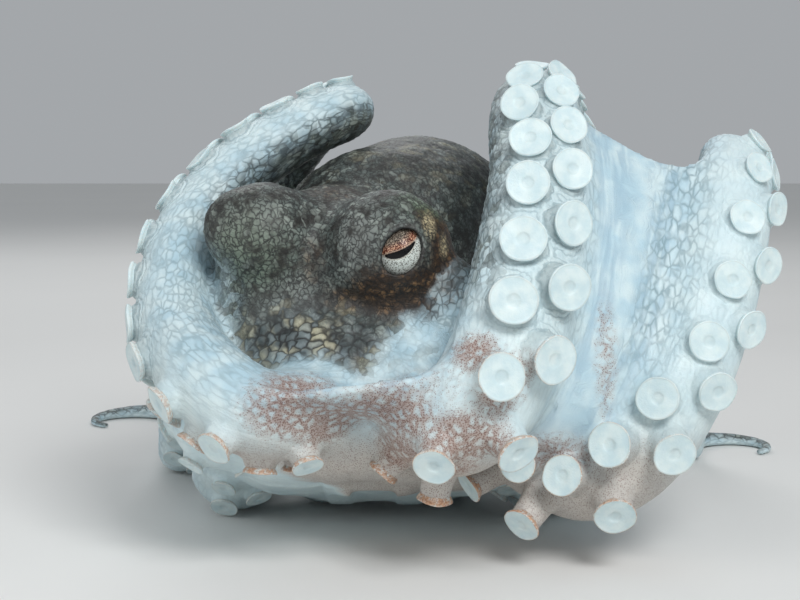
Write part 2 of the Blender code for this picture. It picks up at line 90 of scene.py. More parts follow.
# Arms, as in the CAD source
ROOT_HALF_WIDTH = 15.2
ROOT_FLARE = 0.35
ROOT_LEAD = 7.0
TIP_HALF_WIDTH = 1.3
TAPER_POWER = 1.4
ARM_FLATNESS = 0.84
STALK_REACH = 62.0
CURL_STEP = 3.0
STATION_STEP = 2.0
FLOOR_SOFT = 4.0               # how gently an arm comes down to the floor
ROOT_OVERLAP = 14.0            # how far an arm's sweep starts inside the crown
DOWN = np.array([0.0, 0.0, -1.0])
ARMS = {
    "r1": dict(
        angle=-22.5, half_width=15.5, stalk=0.12, curl=(70, 30),
        route=[(-40, -39, 46), (-54, -31, 54), (-64, -12, 63), (-68, 8, 77), (-65, 27, 94),
               (-53, 39, 110), (-35, 47, 123), (-19, 62, 130), (-32, 88, 124), (-47, 109, 96),
               (-47, 130, 56), (-38, 148, 20), (-33, 168, 0)],
        facing=[(0.10, (-0.5, -0.5, -0.7)), (0.22, (-1, -0.1, -0.2)), (0.38, (-0.6, 0.1, 0.8)),
                (0.50, (0.1, 0.6, 0.8)), (0.66, (-1, 0.4, 0)), (0.82, DOWN)]),
    "l1": dict(
        angle=22.5, half_width=17.3, stalk=0.3, curl=(70, -240),
        route=[(13, -42, 43), (21, -46, 49), (28, -43, 61), (34, -34, 78), (38, -22, 95),
               (41, -6, 111), (41, 14, 125), (44, 40, 132), (52, 72, 125), (65, 100, 102),
               (73, 118, 68), (77, 140, 24), (78, 160, 0)],
        facing=[(0.08, (0.1, -0.8, -0.6)), (0.2, (0.1, -1, 0.1)), (0.32, (0.1, -0.7, 0.7)),
                (0.48, (0.4, 0, 1)), (0.62, (1, 0.4, 0.2)), (0.74, (0.8, 0.2, -0.4)),
                (0.84, DOWN)]),
    "l2": dict(
        angle=67.5, half_width=16.2, stalk=0.5, curl=(70, -240),
        route=[(41, -13, 30), (53, -19, 24), (67, -23, 31), (81, -20, 51), (91, -10, 72),
               (98, 2, 92), (102, 15, 105), (106, 34, 113), (109, 58, 107), (109, 84, 76),
               (108, 104, 36), (110, 126, 0)],
        facing=[(0.07, (0, -0.4, -0.9)), (0.2, (0.4, -0.9, -0.1)), (0.34, (0.4, -0.8, 0.5)),
                (0.48, (0.7, -0.1, 0.8)), (0.62, (1, 0.2, 0)), (0.76, DOWN)]),
    "l3": dict(
        angle=112.5, half_width=15.5, stalk=0.0, curl=(110, -230),
        route=[(46, 34, 16), (54, 54, 0), (53, 82, 0), (47, 112, 0), (46, 142, 0),
               (48, 175, 0), (53, 215, 0)],
        facing=[(0.06, DOWN)]),
    "l4": dict(
        angle=157.5, half_width=15.0, stalk=0.0, curl=(100, -250),
        route=[(13, 60, 0), (18, 86, 0), (17, 114, 0), (15, 144, 0), (16, 176, 0),
               (20, 215, 0), (24, 256, 0)],
        facing=[(0.06, DOWN)]),
    "r4": dict(
        angle=-157.5, half_width=15.0, stalk=0.0, curl=(100, 250),
        route=[(-21, 63, 0), (-16, 90, 0), (-12, 116, 0), (-10, 146, 0), (-10, 180, 0),
               (-14, 218, 0), (-15, 256, 0)],
        facing=[(0.06, DOWN)]),
    "r3": dict(
        angle=-112.5, half_width=13.8, stalk=0.0, curl=(100, 230),
        route=[(-54, 42, 10), (-55, 64, 0), (-53, 92, 0), (-54, 122, 0), (-56, 152, 0),
               (-54, 184, 0), (-54, 216, 0)],
        facing=[(0.06, DOWN)]),
    "r2": dict(
        angle=-67.5, half_width=13.2, stalk=0.0, curl=(85, 240),
        route=[(-55, -5, 34), (-61, 8, 43), (-63, 27, 52), (-67, 52, 48), (-74, 79, 29),
               (-80, 107, 3), (-83, 134, 0), (-86, 158, 0), (-89, 182, 0)],
        facing=[(0.10, (-0.7, 0, -0.7)), (0.3, DOWN)]),
}
FRONT_ARMS = ("r1", "l1", "l2")
# Webs: where each starts, how far it reaches along its left and right arm, and its sag
WEBS = {("r1", "l1"): (10, 27, 36, 0.30), ("l1", "l2"): (24, 150, 150, 0.10),
        ("l2", "l3"): (10, 38, 38, 0.30), ("l3", "l4"): (10, 56, 34, 0.15),
        ("l4", "r4"): (10, 40, 40, 0.20), ("r4", "r3"): (10, 34, 46, 0.15),
        ("r3", "r2"): (14, 30, 30, 0.15), ("r2", "r1"): (10, 24, 30, 0.20)}
WEB_THICKNESS = 2.6
WEB_ROOT = 0.7
WEB_BULGE = 0.3
WEB_ROW_STEP = 2.5
WEB_COLUMNS = 20

# Head, eyes and mantle, as in the CAD source
HEAD_LOBES = [((-21, 15, 75), (27, 26, 33)), ((-10, 12, 45), (33, 31, 22)),
              ((-29, 7, 68), (22, 22, 26)), ((-3.3, -8.5, 89), (18.5, 17.5, 18.5)),
              ((-41, -1, 94), (15.5, 16, 15.5)), ((-38, 4, 62), (16, 17, 19)),
              ((-46, 8, 74), (11, 12, 14)), ((2, -12, 55), (24, 18, 17)),
              ((18, -13, 68), (11, 15, 18)), ((-22, -12, 54), (22, 17, 15))]
MANTLE_CENTRE = np.array([7.0, 88.0, 83.5])
MANTLE_AXIS = np.array([0.14, 0.97, -0.18])
MANTLE_HALF = (39.0, 63.0, 38.0)
MANTLE_NECK = ((-9.0, 46.0, 88.0), (31.0, 24.0, 30.0))
FUNNEL_START = np.array([-16.0, 52.0, 58.0])
FUNNEL_END = np.array([-45.0, 45.0, 60.0])
FUNNEL_RADII = (9.5, 5.0)
FUNNEL_WALL = 1.6
FUNNEL_BORE = 14.0
FUNNEL_BORE_END = 2.0          # radius at the bottom of the bore
FUNNEL_SOFT = 5.0
FUNNEL_LIP_SOFT = 1.5

# Skin: pitch of the distance grid, width of its band, and how softly the forms run together
PITCH = 0.9
BAND = 9.0
SWEEP_STEP = 1.5
ROOT_SOFT = 11.0
ROOT_SOFT_REACH = 70.0
WEB_SOFT = 6.5
HEAD_SOFT = 9.0
NECK_SOFT = 14.0
BODY_SOFT = 15.0
BODY_SOFT_REACH = 58.0
CONTACT_SOFT = 0.6
CROWN_REACH = 55
BODY_BOX = ((-80, -45, 15), (70, 170, 135))
FINE_CELL = 1.7
COBBLE_CELL = 3.2
RIDGE_CELL = 2.1
FLOOR_LIFT = 0.10              # how far an arm's flesh stands off the floor, over its half width
FACES_KEPT = 196000

# Suckers: spacing and radius over the arm's half width, crowding towards the mouth, and how far
# each row lies from the middle line; twist turns both rows round the arm (at, degrees)
SUCKER_RADIUS = 0.41
FIRST_SUCKER = 9.0
LAST_SUCKER = 1.5
ROOT_SUCKER = 0.62             # share of its full size that a sucker has at the root
ROOT_SUCKER_REACH = 45.0
SUCKER_SPREAD = math.radians(21)
SUCKER_SEAT = 0.12             # height of a resting sucker over the half width
NOD_LIFT = 0.75                # how much of a leaning sucker's sunken edge is lifted clear
NOD_IN = (35.0, 60.0)          # stations between which the lean sets in, and goes again
NOD_OUT = (170.0, 130.0)
ROW_JITTER = 0.10
AXIS_JITTER = 0.06
RISE_JITTER = 0.12
WOBBLE = (0.01, 0.045)         # least and most unevenness of a sucker's rim over its radius
SUCKER_ROWS = {
    "l1": dict(pitch=1.10, crowd=(0.62, 45), twist=[(25, -9), (45, -9), (75, 0)],
               nod=(-0.05, -0.35, -0.35)),
    "l2": dict(pitch=1.45, crowd=(0.45, 95), twist=[(45, -48), (70, -25), (90, 0), (130, 20)],
               nod=(-0.1, -0.3, -0.2)),
}
PLAIN_ROWS = dict(pitch=1.10, crowd=(0.62, 45), twist=[(0, 0)], nod=(0, 0, 0))
MOUND_LEAST = 1.6              # suckers smaller than this have no raised stalk in the skin
SUCKER_LEAST = 0.55
FLOOR_GAP = 0.05               # least height of a sucker's rim
SUCKER_SEGMENTS = [(4.2, 44), (2.4, 28), (0.0, 14)]
SUCKER_PLAIN = 2.4             # suckers smaller than this have half the outline's points
# Radius and height of a sucker's outline over its own radius, from under the rim to the middle
SUCKER_OUTLINE = [(0.58, -0.74), (0.68, -0.52), (0.82, -0.28), (0.93, -0.13), (0.985, -0.04),
                  (1.00, 0.02), (0.985, 0.065), (0.945, 0.075), (0.90, 0.060), (0.84, 0.052),
                  (0.64, 0.045), (0.46, 0.035), (0.32, 0.030), (0.275, 0.010), (0.235, -0.015),
                  (0.12, -0.025)]

# Eyes: centre, radius, where they look, tilt of the lid opening and its half axes
EYES = {
    "eye_l": dict(centre=(-0.2, -17.8, 90.0), radius=8.6, look=(0.09, -0.99, 0.05),
                  lid_tilt=61, opening=(6.9, 5.2)),
    "eye_r": dict(centre=(-49.0, -3.2, 96.0), radius=8.0, look=(-0.88, 0.40, 0.20),
                  lid_tilt=115, opening=(6.0, 4.4)),
}
PUPIL_REACH = 4.8
PUPIL_HALF_WIDTH = 1.0
PUPIL_CURVE = 0.055
PUPIL_TILT = 26
EYE_RINGS = 72
EYE_SEGMENTS = 96
CORNEA = 0.035                 # swell of the cornea over the eye's radius
BALL_GAP = 0.05                # how much smaller the ball is than its solid
LID_THICKNESS = 1.1
LID_BLEND = 5.0
LID_SOFT = 1.2
EYE_CLEARANCE = 0.12

# Floor, light and camera, in metres; lights as place, size and power
FLOOR_HALF_SIDE = 3.0
WORLD_STRENGTH = 0.42
LIGHT_TARGET = (0.0, 0.0, 0.07)
LIGHTS = {"key": ((0.30, -0.85, 0.75), 0.4, 7.5),
          "fill": ((-0.80, -0.5, 0.40), 0.7, 1.6),
          "back": ((-0.2, 0.9, 0.9), 0.8, 3.5)}
CAMERA_LENS = 75
CAMERA_PLACE = (-0.006863, -0.615100, 0.126264)
CAMERA_TARGET = (-0.006863, -0.117839, 0.074)


def unit(vector):
    return vector / np.linalg.norm(vector, axis=-1, keepdims=True)


def smooth_step(value, low, high):
    share = np.clip((value - low) / (high - low), 0, 1)
    return share * share * (3 - 2 * share)


def smooth_min(a, b, soft):
    overlap = np.maximum(soft - np.abs(a - b), 0)
    return np.minimum(a, b) - overlap * overlap / (4 * np.maximum(soft, 1e-6))


def smooth_max(a, b, soft):
    return -smooth_min(-a, -b, soft)


def spline(points, per_span=16):
    """Catmull-Rom curve through the points."""
    padded = [2 * points[0] - points[1]] + list(points) + [2 * points[-1] - points[-2]]
    curve = []
    for before, start, end, after in zip(padded, padded[1:], padded[2:], padded[3:]):
        for step in range(per_span):
            t = step / per_span
            curve.append(0.5 * (2 * start + (end - before) * t
                                + (2 * before - 5 * start + 4 * end - after) * t * t
                                + (3 * start - before - 3 * end + after) * t ** 3))
    curve.append(points[-1])
    return np.array(curve)


def read_off(at, stations, rows):
    """Rows of three values, read off between the stations."""
    rows = np.asarray(rows)
    return np.stack([np.interp(at, stations, rows[:, axis]) for axis in range(3)], -1)


def distances(curve):
    return np.concatenate([[0], np.cumsum(np.linalg.norm(np.diff(curve, axis=0), axis=1))])


class Arm:
    """Centre line, widths and frames of one arm, the same as in the CAD source."""

    def __init__(self, angle, half_width, stalk, curl, route, facing):
        turn = math.radians(angle)
        outward = FORWARD * math.cos(turn) + RIGHT * math.sin(turn)
        root = CROWN_CENTRE + CROWN_RADIUS * outward
        lead = root + outward * ROOT_LEAD
        curve = spline([root, lead] + [np.array(point, float) for point in route])
        heading = unit((curve[-1] - curve[-6]) * (1, 1, 0))
        start_angle = math.atan2(heading[1], heading[0])
        curl_length, curl_turn = curl
        steps = int(curl_length / CURL_STEP)
        tail = [curve[-1]]
        for step in range(steps):
            share = (step + 0.5) / steps
            bearing = start_angle + math.radians(curl_turn) * share ** 1.8
            step_on = np.array([math.cos(bearing), math.sin(bearing), 0])
            tail.append(tail[-1] + CURL_STEP * step_on)
        curve = np.vstack([curve, tail[1:]])
        raw = distances(curve)
        self.length = raw[-1]
        self.half_width = half_width
        self.stalk = stalk
        self.stations = np.linspace(0, self.length, int(self.length / STATION_STEP))
        line = read_off(self.stations, raw, curve)
        rest = self.width(self.stations) * ARM_FLATNESS
        excess = line[:, 2] - rest
        rise = 0.5 * (excess + np.sqrt(excess ** 2 + FLOOR_SOFT ** 2))
        settle = 0.5 * FLOOR_SOFT * np.exp(-np.maximum(excess, 0) / FLOOR_SOFT)
        line[:, 2] = np.maximum(rest + rise - settle, rest)
        kernel = np.array([1, 2, 3, 2, 1]) / 9.0
        smooth = line.copy()
        for axis in range(3):
            smooth[2:-2, axis] = np.convolve(line[:, axis], kernel, "valid")
        self.line = smooth
        self.tangents = np.gradient(self.line, axis=0)
        self.tangents[:3] = outward
        self.tangents = unit(self.tangents)
        shares = [0.0] + [share for share, _ in facing]
        looks = [MOUTHWARD] + [unit(np.array(look, float)) for _, look in facing]
        look = read_off(self.stations / self.length, shares, looks)
        look -= self.tangents * np.sum(look * self.tangents, axis=1)[:, None]
        self.oral = unit(look)
        self.side = np.cross(self.tangents, self.oral)

    def width(self, s):
        share = np.clip(np.asarray(s) / self.length, 0, 1)
        full = (self.half_width - TIP_HALF_WIDTH) * (1 - share ** TAPER_POWER) + TIP_HALF_WIDTH
        return np.minimum(full, ROOT_HALF_WIDTH + ROOT_FLARE * np.asarray(s))

    def rise(self, s):
        """Height of a sucker over the local half width."""
        return SUCKER_SEAT + self.stalk * np.exp(-(s / STALK_REACH) ** 4)

    def frame(self, s):
        """Centre, side and sucker direction at stations, with the root run on inwards."""
        s = np.asarray(s, float)
        centre, side, oral = [read_off(s, self.stations, rows)
                              for rows in (self.line, self.side, self.oral)]
        centre += np.minimum(s, 0)[..., None] * self.tangents[0]
        return centre, unit(side), unit(oral)


# ---------------------------------------------------------------- distance fields

class Field:
    """Signed distances in millimetres on a regular grid, negative inside."""

    def __init__(self, low, high):
        self.start = np.floor(np.array(low) / PITCH).astype(int)
        counts = np.ceil(np.array(high) / PITCH).astype(int) - self.start + 1
        self.values = np.full(counts, BAND, np.float32)
        self.transform = openvdb.createLinearTransform(voxelSize=PITCH)

    def window(self, low, high):
        first = np.floor(np.array(low) / PITCH).astype(int) - self.start
        last = np.ceil(np.array(high) / PITCH).astype(int) - self.start + 1
        first = np.maximum(first, 0)
        last = np.minimum(last, self.values.shape)
        return tuple(slice(int(a), int(b)) for a, b in zip(first, last))

    def axes(self, window):
        """Coordinates of a window's grid points, ready to broadcast."""
        forms = ((-1, 1, 1), (1, -1, 1), (1, 1, -1))
        return [((np.arange(part.start, part.stop) + start) * PITCH).astype(np.float32).reshape(f)
                for part, start, f in zip(window, self.start, forms)]

    def blend(self, window, distance, soft):
        self.values[window] = smooth_min(self.values[window], distance, soft)

    def add_mesh(self, points, quads, triangles, soft):
        """Union with a closed mesh; soft is a width, or a function of the coordinates."""
        window = self.window(points.min(axis=0) - BAND, points.max(axis=0) + BAND)
        grid = openvdb.FloatGrid.createLevelSetFromPolygons(
            points.astype(np.float32), triangles=triangles.astype(np.uint32),
            quads=quads.astype(np.uint32), transform=self.transform, halfWidth=BAND / PITCH)
        shape = [part.stop - part.start for part in window]
        distance = np.empty(shape, np.float32)
        corner = [int(part.start + start) for part, start in zip(window, self.start)]
        grid.copyToArray(distance, ijk=tuple(corner))
        width = soft(*self.axes(window)) if callable(soft) else soft
        self.blend(window, distance, width)

    def mesh(self):
        grid = openvdb.FloatGrid(float(BAND))
        grid.copyFromArray(self.values, ijk=tuple(int(v) for v in self.start))
        grid.transform = self.transform
        return grid.convertToQuads(0.0)


def offsets(x, y, z, centre):
    return x - centre[0], y - centre[1], z - centre[2]


def dot(parts, axis):
    return parts[0] * axis[0] + parts[1] * axis[1] + parts[2] * axis[2]


def length_of(parts):
    return np.sqrt(dot(parts, parts))


def ellipsoid(x, y, z, centre, half, turn=None):
    """Approximate distance to an ellipsoid, with an optional turn into its own axes."""
    parts = offsets(x, y, z, centre)
    if turn is not None:
        parts = [dot(parts, row) for row in turn]
    near = length_of([part / reach for part, reach in zip(parts, half)])
    steep = length_of([part / reach ** 2 for part, reach in zip(parts, half)])
    return near * (near - 1) / np.maximum(steep, 1e-6)


def round_cone(x, y, z, start, end, start_radius, end_radius):
    """Distance to a straight tapering stalk with flat ends."""
    axis = end - start
    length = np.linalg.norm(axis)
    axis = axis / length
    parts = offsets(x, y, z, start)
    along = dot(parts, axis)
    off = np.sqrt(np.maximum(dot(parts, parts) - along * along, 0))
    radius = start_radius + (end_radius - start_radius) * np.clip(along / length, 0, 1)
    return np.maximum(off - radius, np.maximum(-along, along - length))


def mantle_turn():
    axis = unit(MANTLE_AXIS)
    side = unit(np.cross(axis, (0, 0, 1)))
    return np.array([side, axis, np.cross(side, axis)])


def body_distance(x, y, z):
    """Head, mantle and funnel run together."""
    head = None
    for centre, half in HEAD_LOBES:
        lobe = ellipsoid(x, y, z, centre, half)
        head = lobe if head is None else smooth_min(head, lobe, HEAD_SOFT)
    mantle = ellipsoid(x, y, z, MANTLE_CENTRE, MANTLE_HALF, mantle_turn())
    mantle = smooth_min(mantle, ellipsoid(x, y, z, *MANTLE_NECK), HEAD_SOFT)
    body = smooth_min(head, mantle, NECK_SOFT)
    funnel = round_cone(x, y, z, FUNNEL_START, FUNNEL_END, *FUNNEL_RADII)
    body = smooth_min(body, funnel, FUNNEL_SOFT)
    axis = unit(FUNNEL_START - FUNNEL_END)
    bore = round_cone(x, y, z, FUNNEL_END - 3 * axis, FUNNEL_END + FUNNEL_BORE * axis,
                      FUNNEL_RADII[1] - FUNNEL_WALL, FUNNEL_BORE_END)
    return smooth_max(body, -bore, FUNNEL_LIP_SOFT)


def crown_distance(x, y, z):
    """Rounded disc between the arm roots, with a shallow mouth hollow."""
    parts = offsets(x, y, z, CROWN_CENTRE)
    depth = dot(parts, MOUTHWARD)
    off = np.sqrt(np.maximum(dot(parts, parts) - depth * depth, 0))
    wide = np.maximum(off - CROWN_RADIUS + CROWN_ROUNDING, 0)
    tall = np.maximum(np.abs(depth) - CROWN_HALF_HEIGHT + CROWN_ROUNDING, 0)
    disc = np.sqrt(wide * wide + tall * tall) - CROWN_ROUNDING
    lip = np.sqrt((off - LIP_RADIUS) ** 2 + (depth - CROWN_HALF_HEIGHT) ** 2) - LIP_HALF_WIDTH
    disc = smooth_min(disc, lip, MOUTH_SOFT)
    hollow = np.sqrt(off ** 2 + (depth - CROWN_HALF_HEIGHT) ** 2) - MOUTH_RADIUS
    return smooth_max(disc, -hollow, MOUTH_SOFT)


def from_crown(x, y, z):
    return length_of(offsets(x, y, z, CROWN_CENTRE))


def root_soft(x, y, z):
    return ROOT_SOFT * np.exp(-(from_crown(x, y, z) / ROOT_SOFT_REACH) ** 4) + 0.02


def body_soft(x, y, z):
    return BODY_SOFT * np.exp(-(from_crown(x, y, z) / BODY_SOFT_REACH) ** 4) + CONTACT_SOFT


def grid_faces(first, second):
    """Four-sided faces between two neighbouring columns, for every row to the next."""
    return np.stack([first[:-1], second[:-1], second[1:], first[1:]], -1).reshape(-1, 4)


def arm_sweep(arm, sides=32):
    """Closed sweep of one arm, its underside kept just off the floor."""
    stations = np.arange(-ROOT_OVERLAP, arm.length + 0.01, SWEEP_STEP)
    centre, side, oral = arm.frame(stations)
    width = arm.width(np.maximum(stations, 0))
    angles = np.arange(sides) * 2 * math.pi / sides
    across = width[:, None] * np.sin(angles)
    out = width[:, None] * ARM_FLATNESS * np.cos(angles)
    rings = (centre[:, None] + across[..., None] * side[:, None]
             + out[..., None] * oral[:, None])
    lift = FLOOR_LIFT * width[:, None]
    rings[..., 2] = np.maximum(rings[..., 2], lift)
    points = np.vstack([rings.reshape(-1, 3), rings[0].mean(axis=0), rings[-1].mean(axis=0)])
    index = np.arange(len(stations) * sides).reshape(-1, sides)
    after = np.roll(index, -1, axis=1)
    first = np.full(sides, len(points) - 2)
    ends = np.vstack([np.stack([index[0], after[0], first], -1),
                      np.stack([after[-1], index[-1], first + 1], -1)])
    return points, grid_faces(index, after), ends


def web_sheet(left, right, start_at, left_reach, right_reach, sag):
    """Closed thin sheet from inside one arm to inside its neighbour."""
    rows = max(6, int((max(left_reach, right_reach) - start_at) / WEB_ROW_STEP))
    columns = WEB_COLUMNS
    row, column = np.meshgrid(np.arange(rows + 1) / rows, np.arange(columns + 1) / columns,
                              indexing="ij")
    share = (1 - sag * 4 * column * (1 - column)) * row
    s = start_at + (left_reach - start_at) * share
    t = start_at + (right_reach - start_at) * share
    left_centre, left_side, left_oral = left.frame(s)
    right_centre, right_side, right_oral = right.frame(t)
    start = left_centre + left_side * (WEB_ROOT * left.width(s))[..., None]
    end = right_centre - right_side * (WEB_ROOT * right.width(t))[..., None]
    reach = WEB_BULGE * np.linalg.norm(end - start, axis=-1, keepdims=True)
    u = column[..., None]
    middle = ((1 - u) ** 3 * start + 3 * u * (1 - u) ** 2 * (start + reach * left_side)
              + 3 * u * u * (1 - u) * (end - reach * right_side) + u ** 3 * end)
    across = unit(end - start)
    thick = left_oral * (1 - u) + right_oral * u
    thick = unit(thick - across * np.sum(thick * across, axis=-1, keepdims=True))
    lower = middle - 0.5 * WEB_THICKNESS * thick
    upper = middle + 0.5 * WEB_THICKNESS * thick
    points = np.vstack([lower.reshape(-1, 3), upper.reshape(-1, 3)])
    index = np.arange((rows + 1) * (columns + 1)).reshape(rows + 1, columns + 1)
    quads = grid_faces(index[:, :-1], index[:, 1:])
    rim = np.concatenate([index[0, :-1], index[:-1, -1], index[-1, :0:-1], index[:0:-1, 0]])
    after = np.roll(rim, -1)
    count = index.size
    sides = np.stack([rim, rim + count, after + count, after], -1)
    return points, np.vstack([quads, quads[:, ::-1] + count, sides])


# ---------------------------------------------------------------- suckers

def sucker_stations(arm, rows):
    """Stations of one arm's suckers, alternating between the two rows."""
    base, crowd_reach = rows["crowd"]
    found = []
    s = FIRST_SUCKER
    while s < arm.length - LAST_SUCKER:
        crowd = base + (1 - base) * min(1.0, s / crowd_reach)
        width = float(arm.width(s))
        grown = ROOT_SUCKER + (1 - ROOT_SUCKER) * min(1.0, s / ROOT_SUCKER_REACH)
        radius = SUCKER_RADIUS * width * grown
        found.append((s, radius))
        s += 0.5 * rows["pitch"] * width * crowd
    return found


def place_suckers(arm, rows, rng):
    """Middle, outward axis, radius and station of every sucker on an arm."""
    placed = []
    for index, (s, radius) in enumerate(sucker_stations(arm, rows)):
        if radius < SUCKER_LEAST:
            continue
        row = 1 if index % 2 else -1
        twist = math.radians(float(np.interp(s, *zip(*rows["twist"]))))
        angle = row * SUCKER_SPREAD * (1 + ROW_JITTER * rng.standard_normal()) + twist
        centre, side, oral = arm.frame(s)
        width = float(arm.width(s))
        height = width * ARM_FLATNESS
        foot = centre + side * width * math.sin(angle) + oral * height * math.cos(angle)
        axis = unit(side * math.sin(angle) / width + oral * math.cos(angle) / height)
        nod = np.array(rows["nod"]) * float(smooth_step(s, *NOD_IN) * smooth_step(s, *NOD_OUT))
        upright = axis
        axis = unit(axis + nod + AXIS_JITTER * rng.standard_normal(3))
        rise = float(arm.rise(s)) * width * (1 + RISE_JITTER * rng.standard_normal())
        lean = float(np.linalg.norm(np.cross(upright, axis)))
        top = foot + axis * rise + upright * radius * lean * NOD_LIFT
        lowest = top[2] - radius * math.sqrt(max(0.0, 1 - axis[2] ** 2)) + 0.15 * radius * axis[2]
        if lowest < FLOOR_GAP:
            top = top - axis * (FLOOR_GAP - lowest) / max(0.25, -axis[2])
        placed.append(dict(foot=foot, top=top, axis=axis, radius=radius, s=s,
                           phase=rng.uniform(0, 2 * math.pi), wobble=rng.uniform(*WOBBLE)))
    return placed


def sucker_mesh(suckers):
    """All suckers of one arm as one mesh, with wall and blush values on its vertices."""
    points, faces, wall, blush, ring = [], [], [], [], []
    start = 0
    for one in suckers:
        radius = one["radius"]
        segments = next(count for least, count in SUCKER_SEGMENTS if radius > least)
        plain = SUCKER_OUTLINE[::2] + [SUCKER_OUTLINE[-1]]
        outline = SUCKER_OUTLINE if radius > SUCKER_PLAIN else plain
        turn = np.arange(segments) * 2 * math.pi / segments
        axis = one["axis"]
        right = unit(np.cross(axis, (0.31, 0.17, 0.93)))
        up = np.cross(axis, right)
        spoke = np.cos(turn)[:, None] * right + np.sin(turn)[:, None] * up
        uneven = 1 + one["wobble"] * np.cos(2 * turn + one["phase"])
        uneven += 0.4 * one["wobble"] * np.cos(5 * turn + 2.3 * one["phase"])
        rings = []
        for out, height in outline:
            lift = height * radius + 0.03 * radius * np.cos(3 * turn + one["phase"]) * out ** 2
            spread = (out * radius * uneven)[:, None]
            rings.append(one["top"] + axis * lift[:, None] + spoke * spread)
        count = len(outline)
        points.append(np.concatenate(rings))
        points.append([one["top"] + axis * outline[-1][1] * radius])
        points.append([one["top"] + axis * outline[0][1] * radius])
        index = start + np.arange(count * segments).reshape(count, segments)
        after = np.roll(index, -1, axis=1)
        faces.extend(grid_faces(index, after).tolist())
        middle = start + count * segments
        faces.extend(np.stack([index[-1], after[-1], np.full(segments, middle)], -1).tolist())
        faces.extend(np.stack([after[0], index[0], np.full(segments, middle + 1)], -1).tolist())
        outs = np.array([out for out, _ in outline])
        peak = int(np.argmax(outs))
        rank = np.arange(count)
        side_wall = np.where(rank <= peak + 1, 1.0, 0.0)
        wall.append(np.concatenate([np.repeat(side_wall, segments), [0.0, 1.0]]))
        ring.append(np.concatenate([np.repeat(outs, segments), [0.0, 0.0]]))
        blush.append(np.full(count * segments + 2, one["blush"]))
        start = middle + 2
    return (np.vstack(points), faces, np.concatenate(wall), np.concatenate(blush),
            np.concatenate(ring))


# ---------------------------------------------------------------- objects

def make_object(name, points, faces, attributes, material):
    """A smooth-shaded mesh in metres with named values on its vertices."""
    mesh = bpy.data.meshes.new(name)
    mesh.from_pydata(((points - FLOOR_ORIGIN) * MM).tolist(), [], faces)
    for label, values in attributes.items():
        vector = values.ndim == 2
        layer = mesh.attributes.new(label, "FLOAT_VECTOR" if vector else "FLOAT", "POINT")
        layer.data.foreach_set("vector" if vector else "value",
                               np.ascontiguousarray(values, np.float32).ravel())
    mesh.polygons.foreach_set("use_smooth", [True] * len(mesh.polygons))
    mesh.materials.append(material)
    return linked(name, mesh)


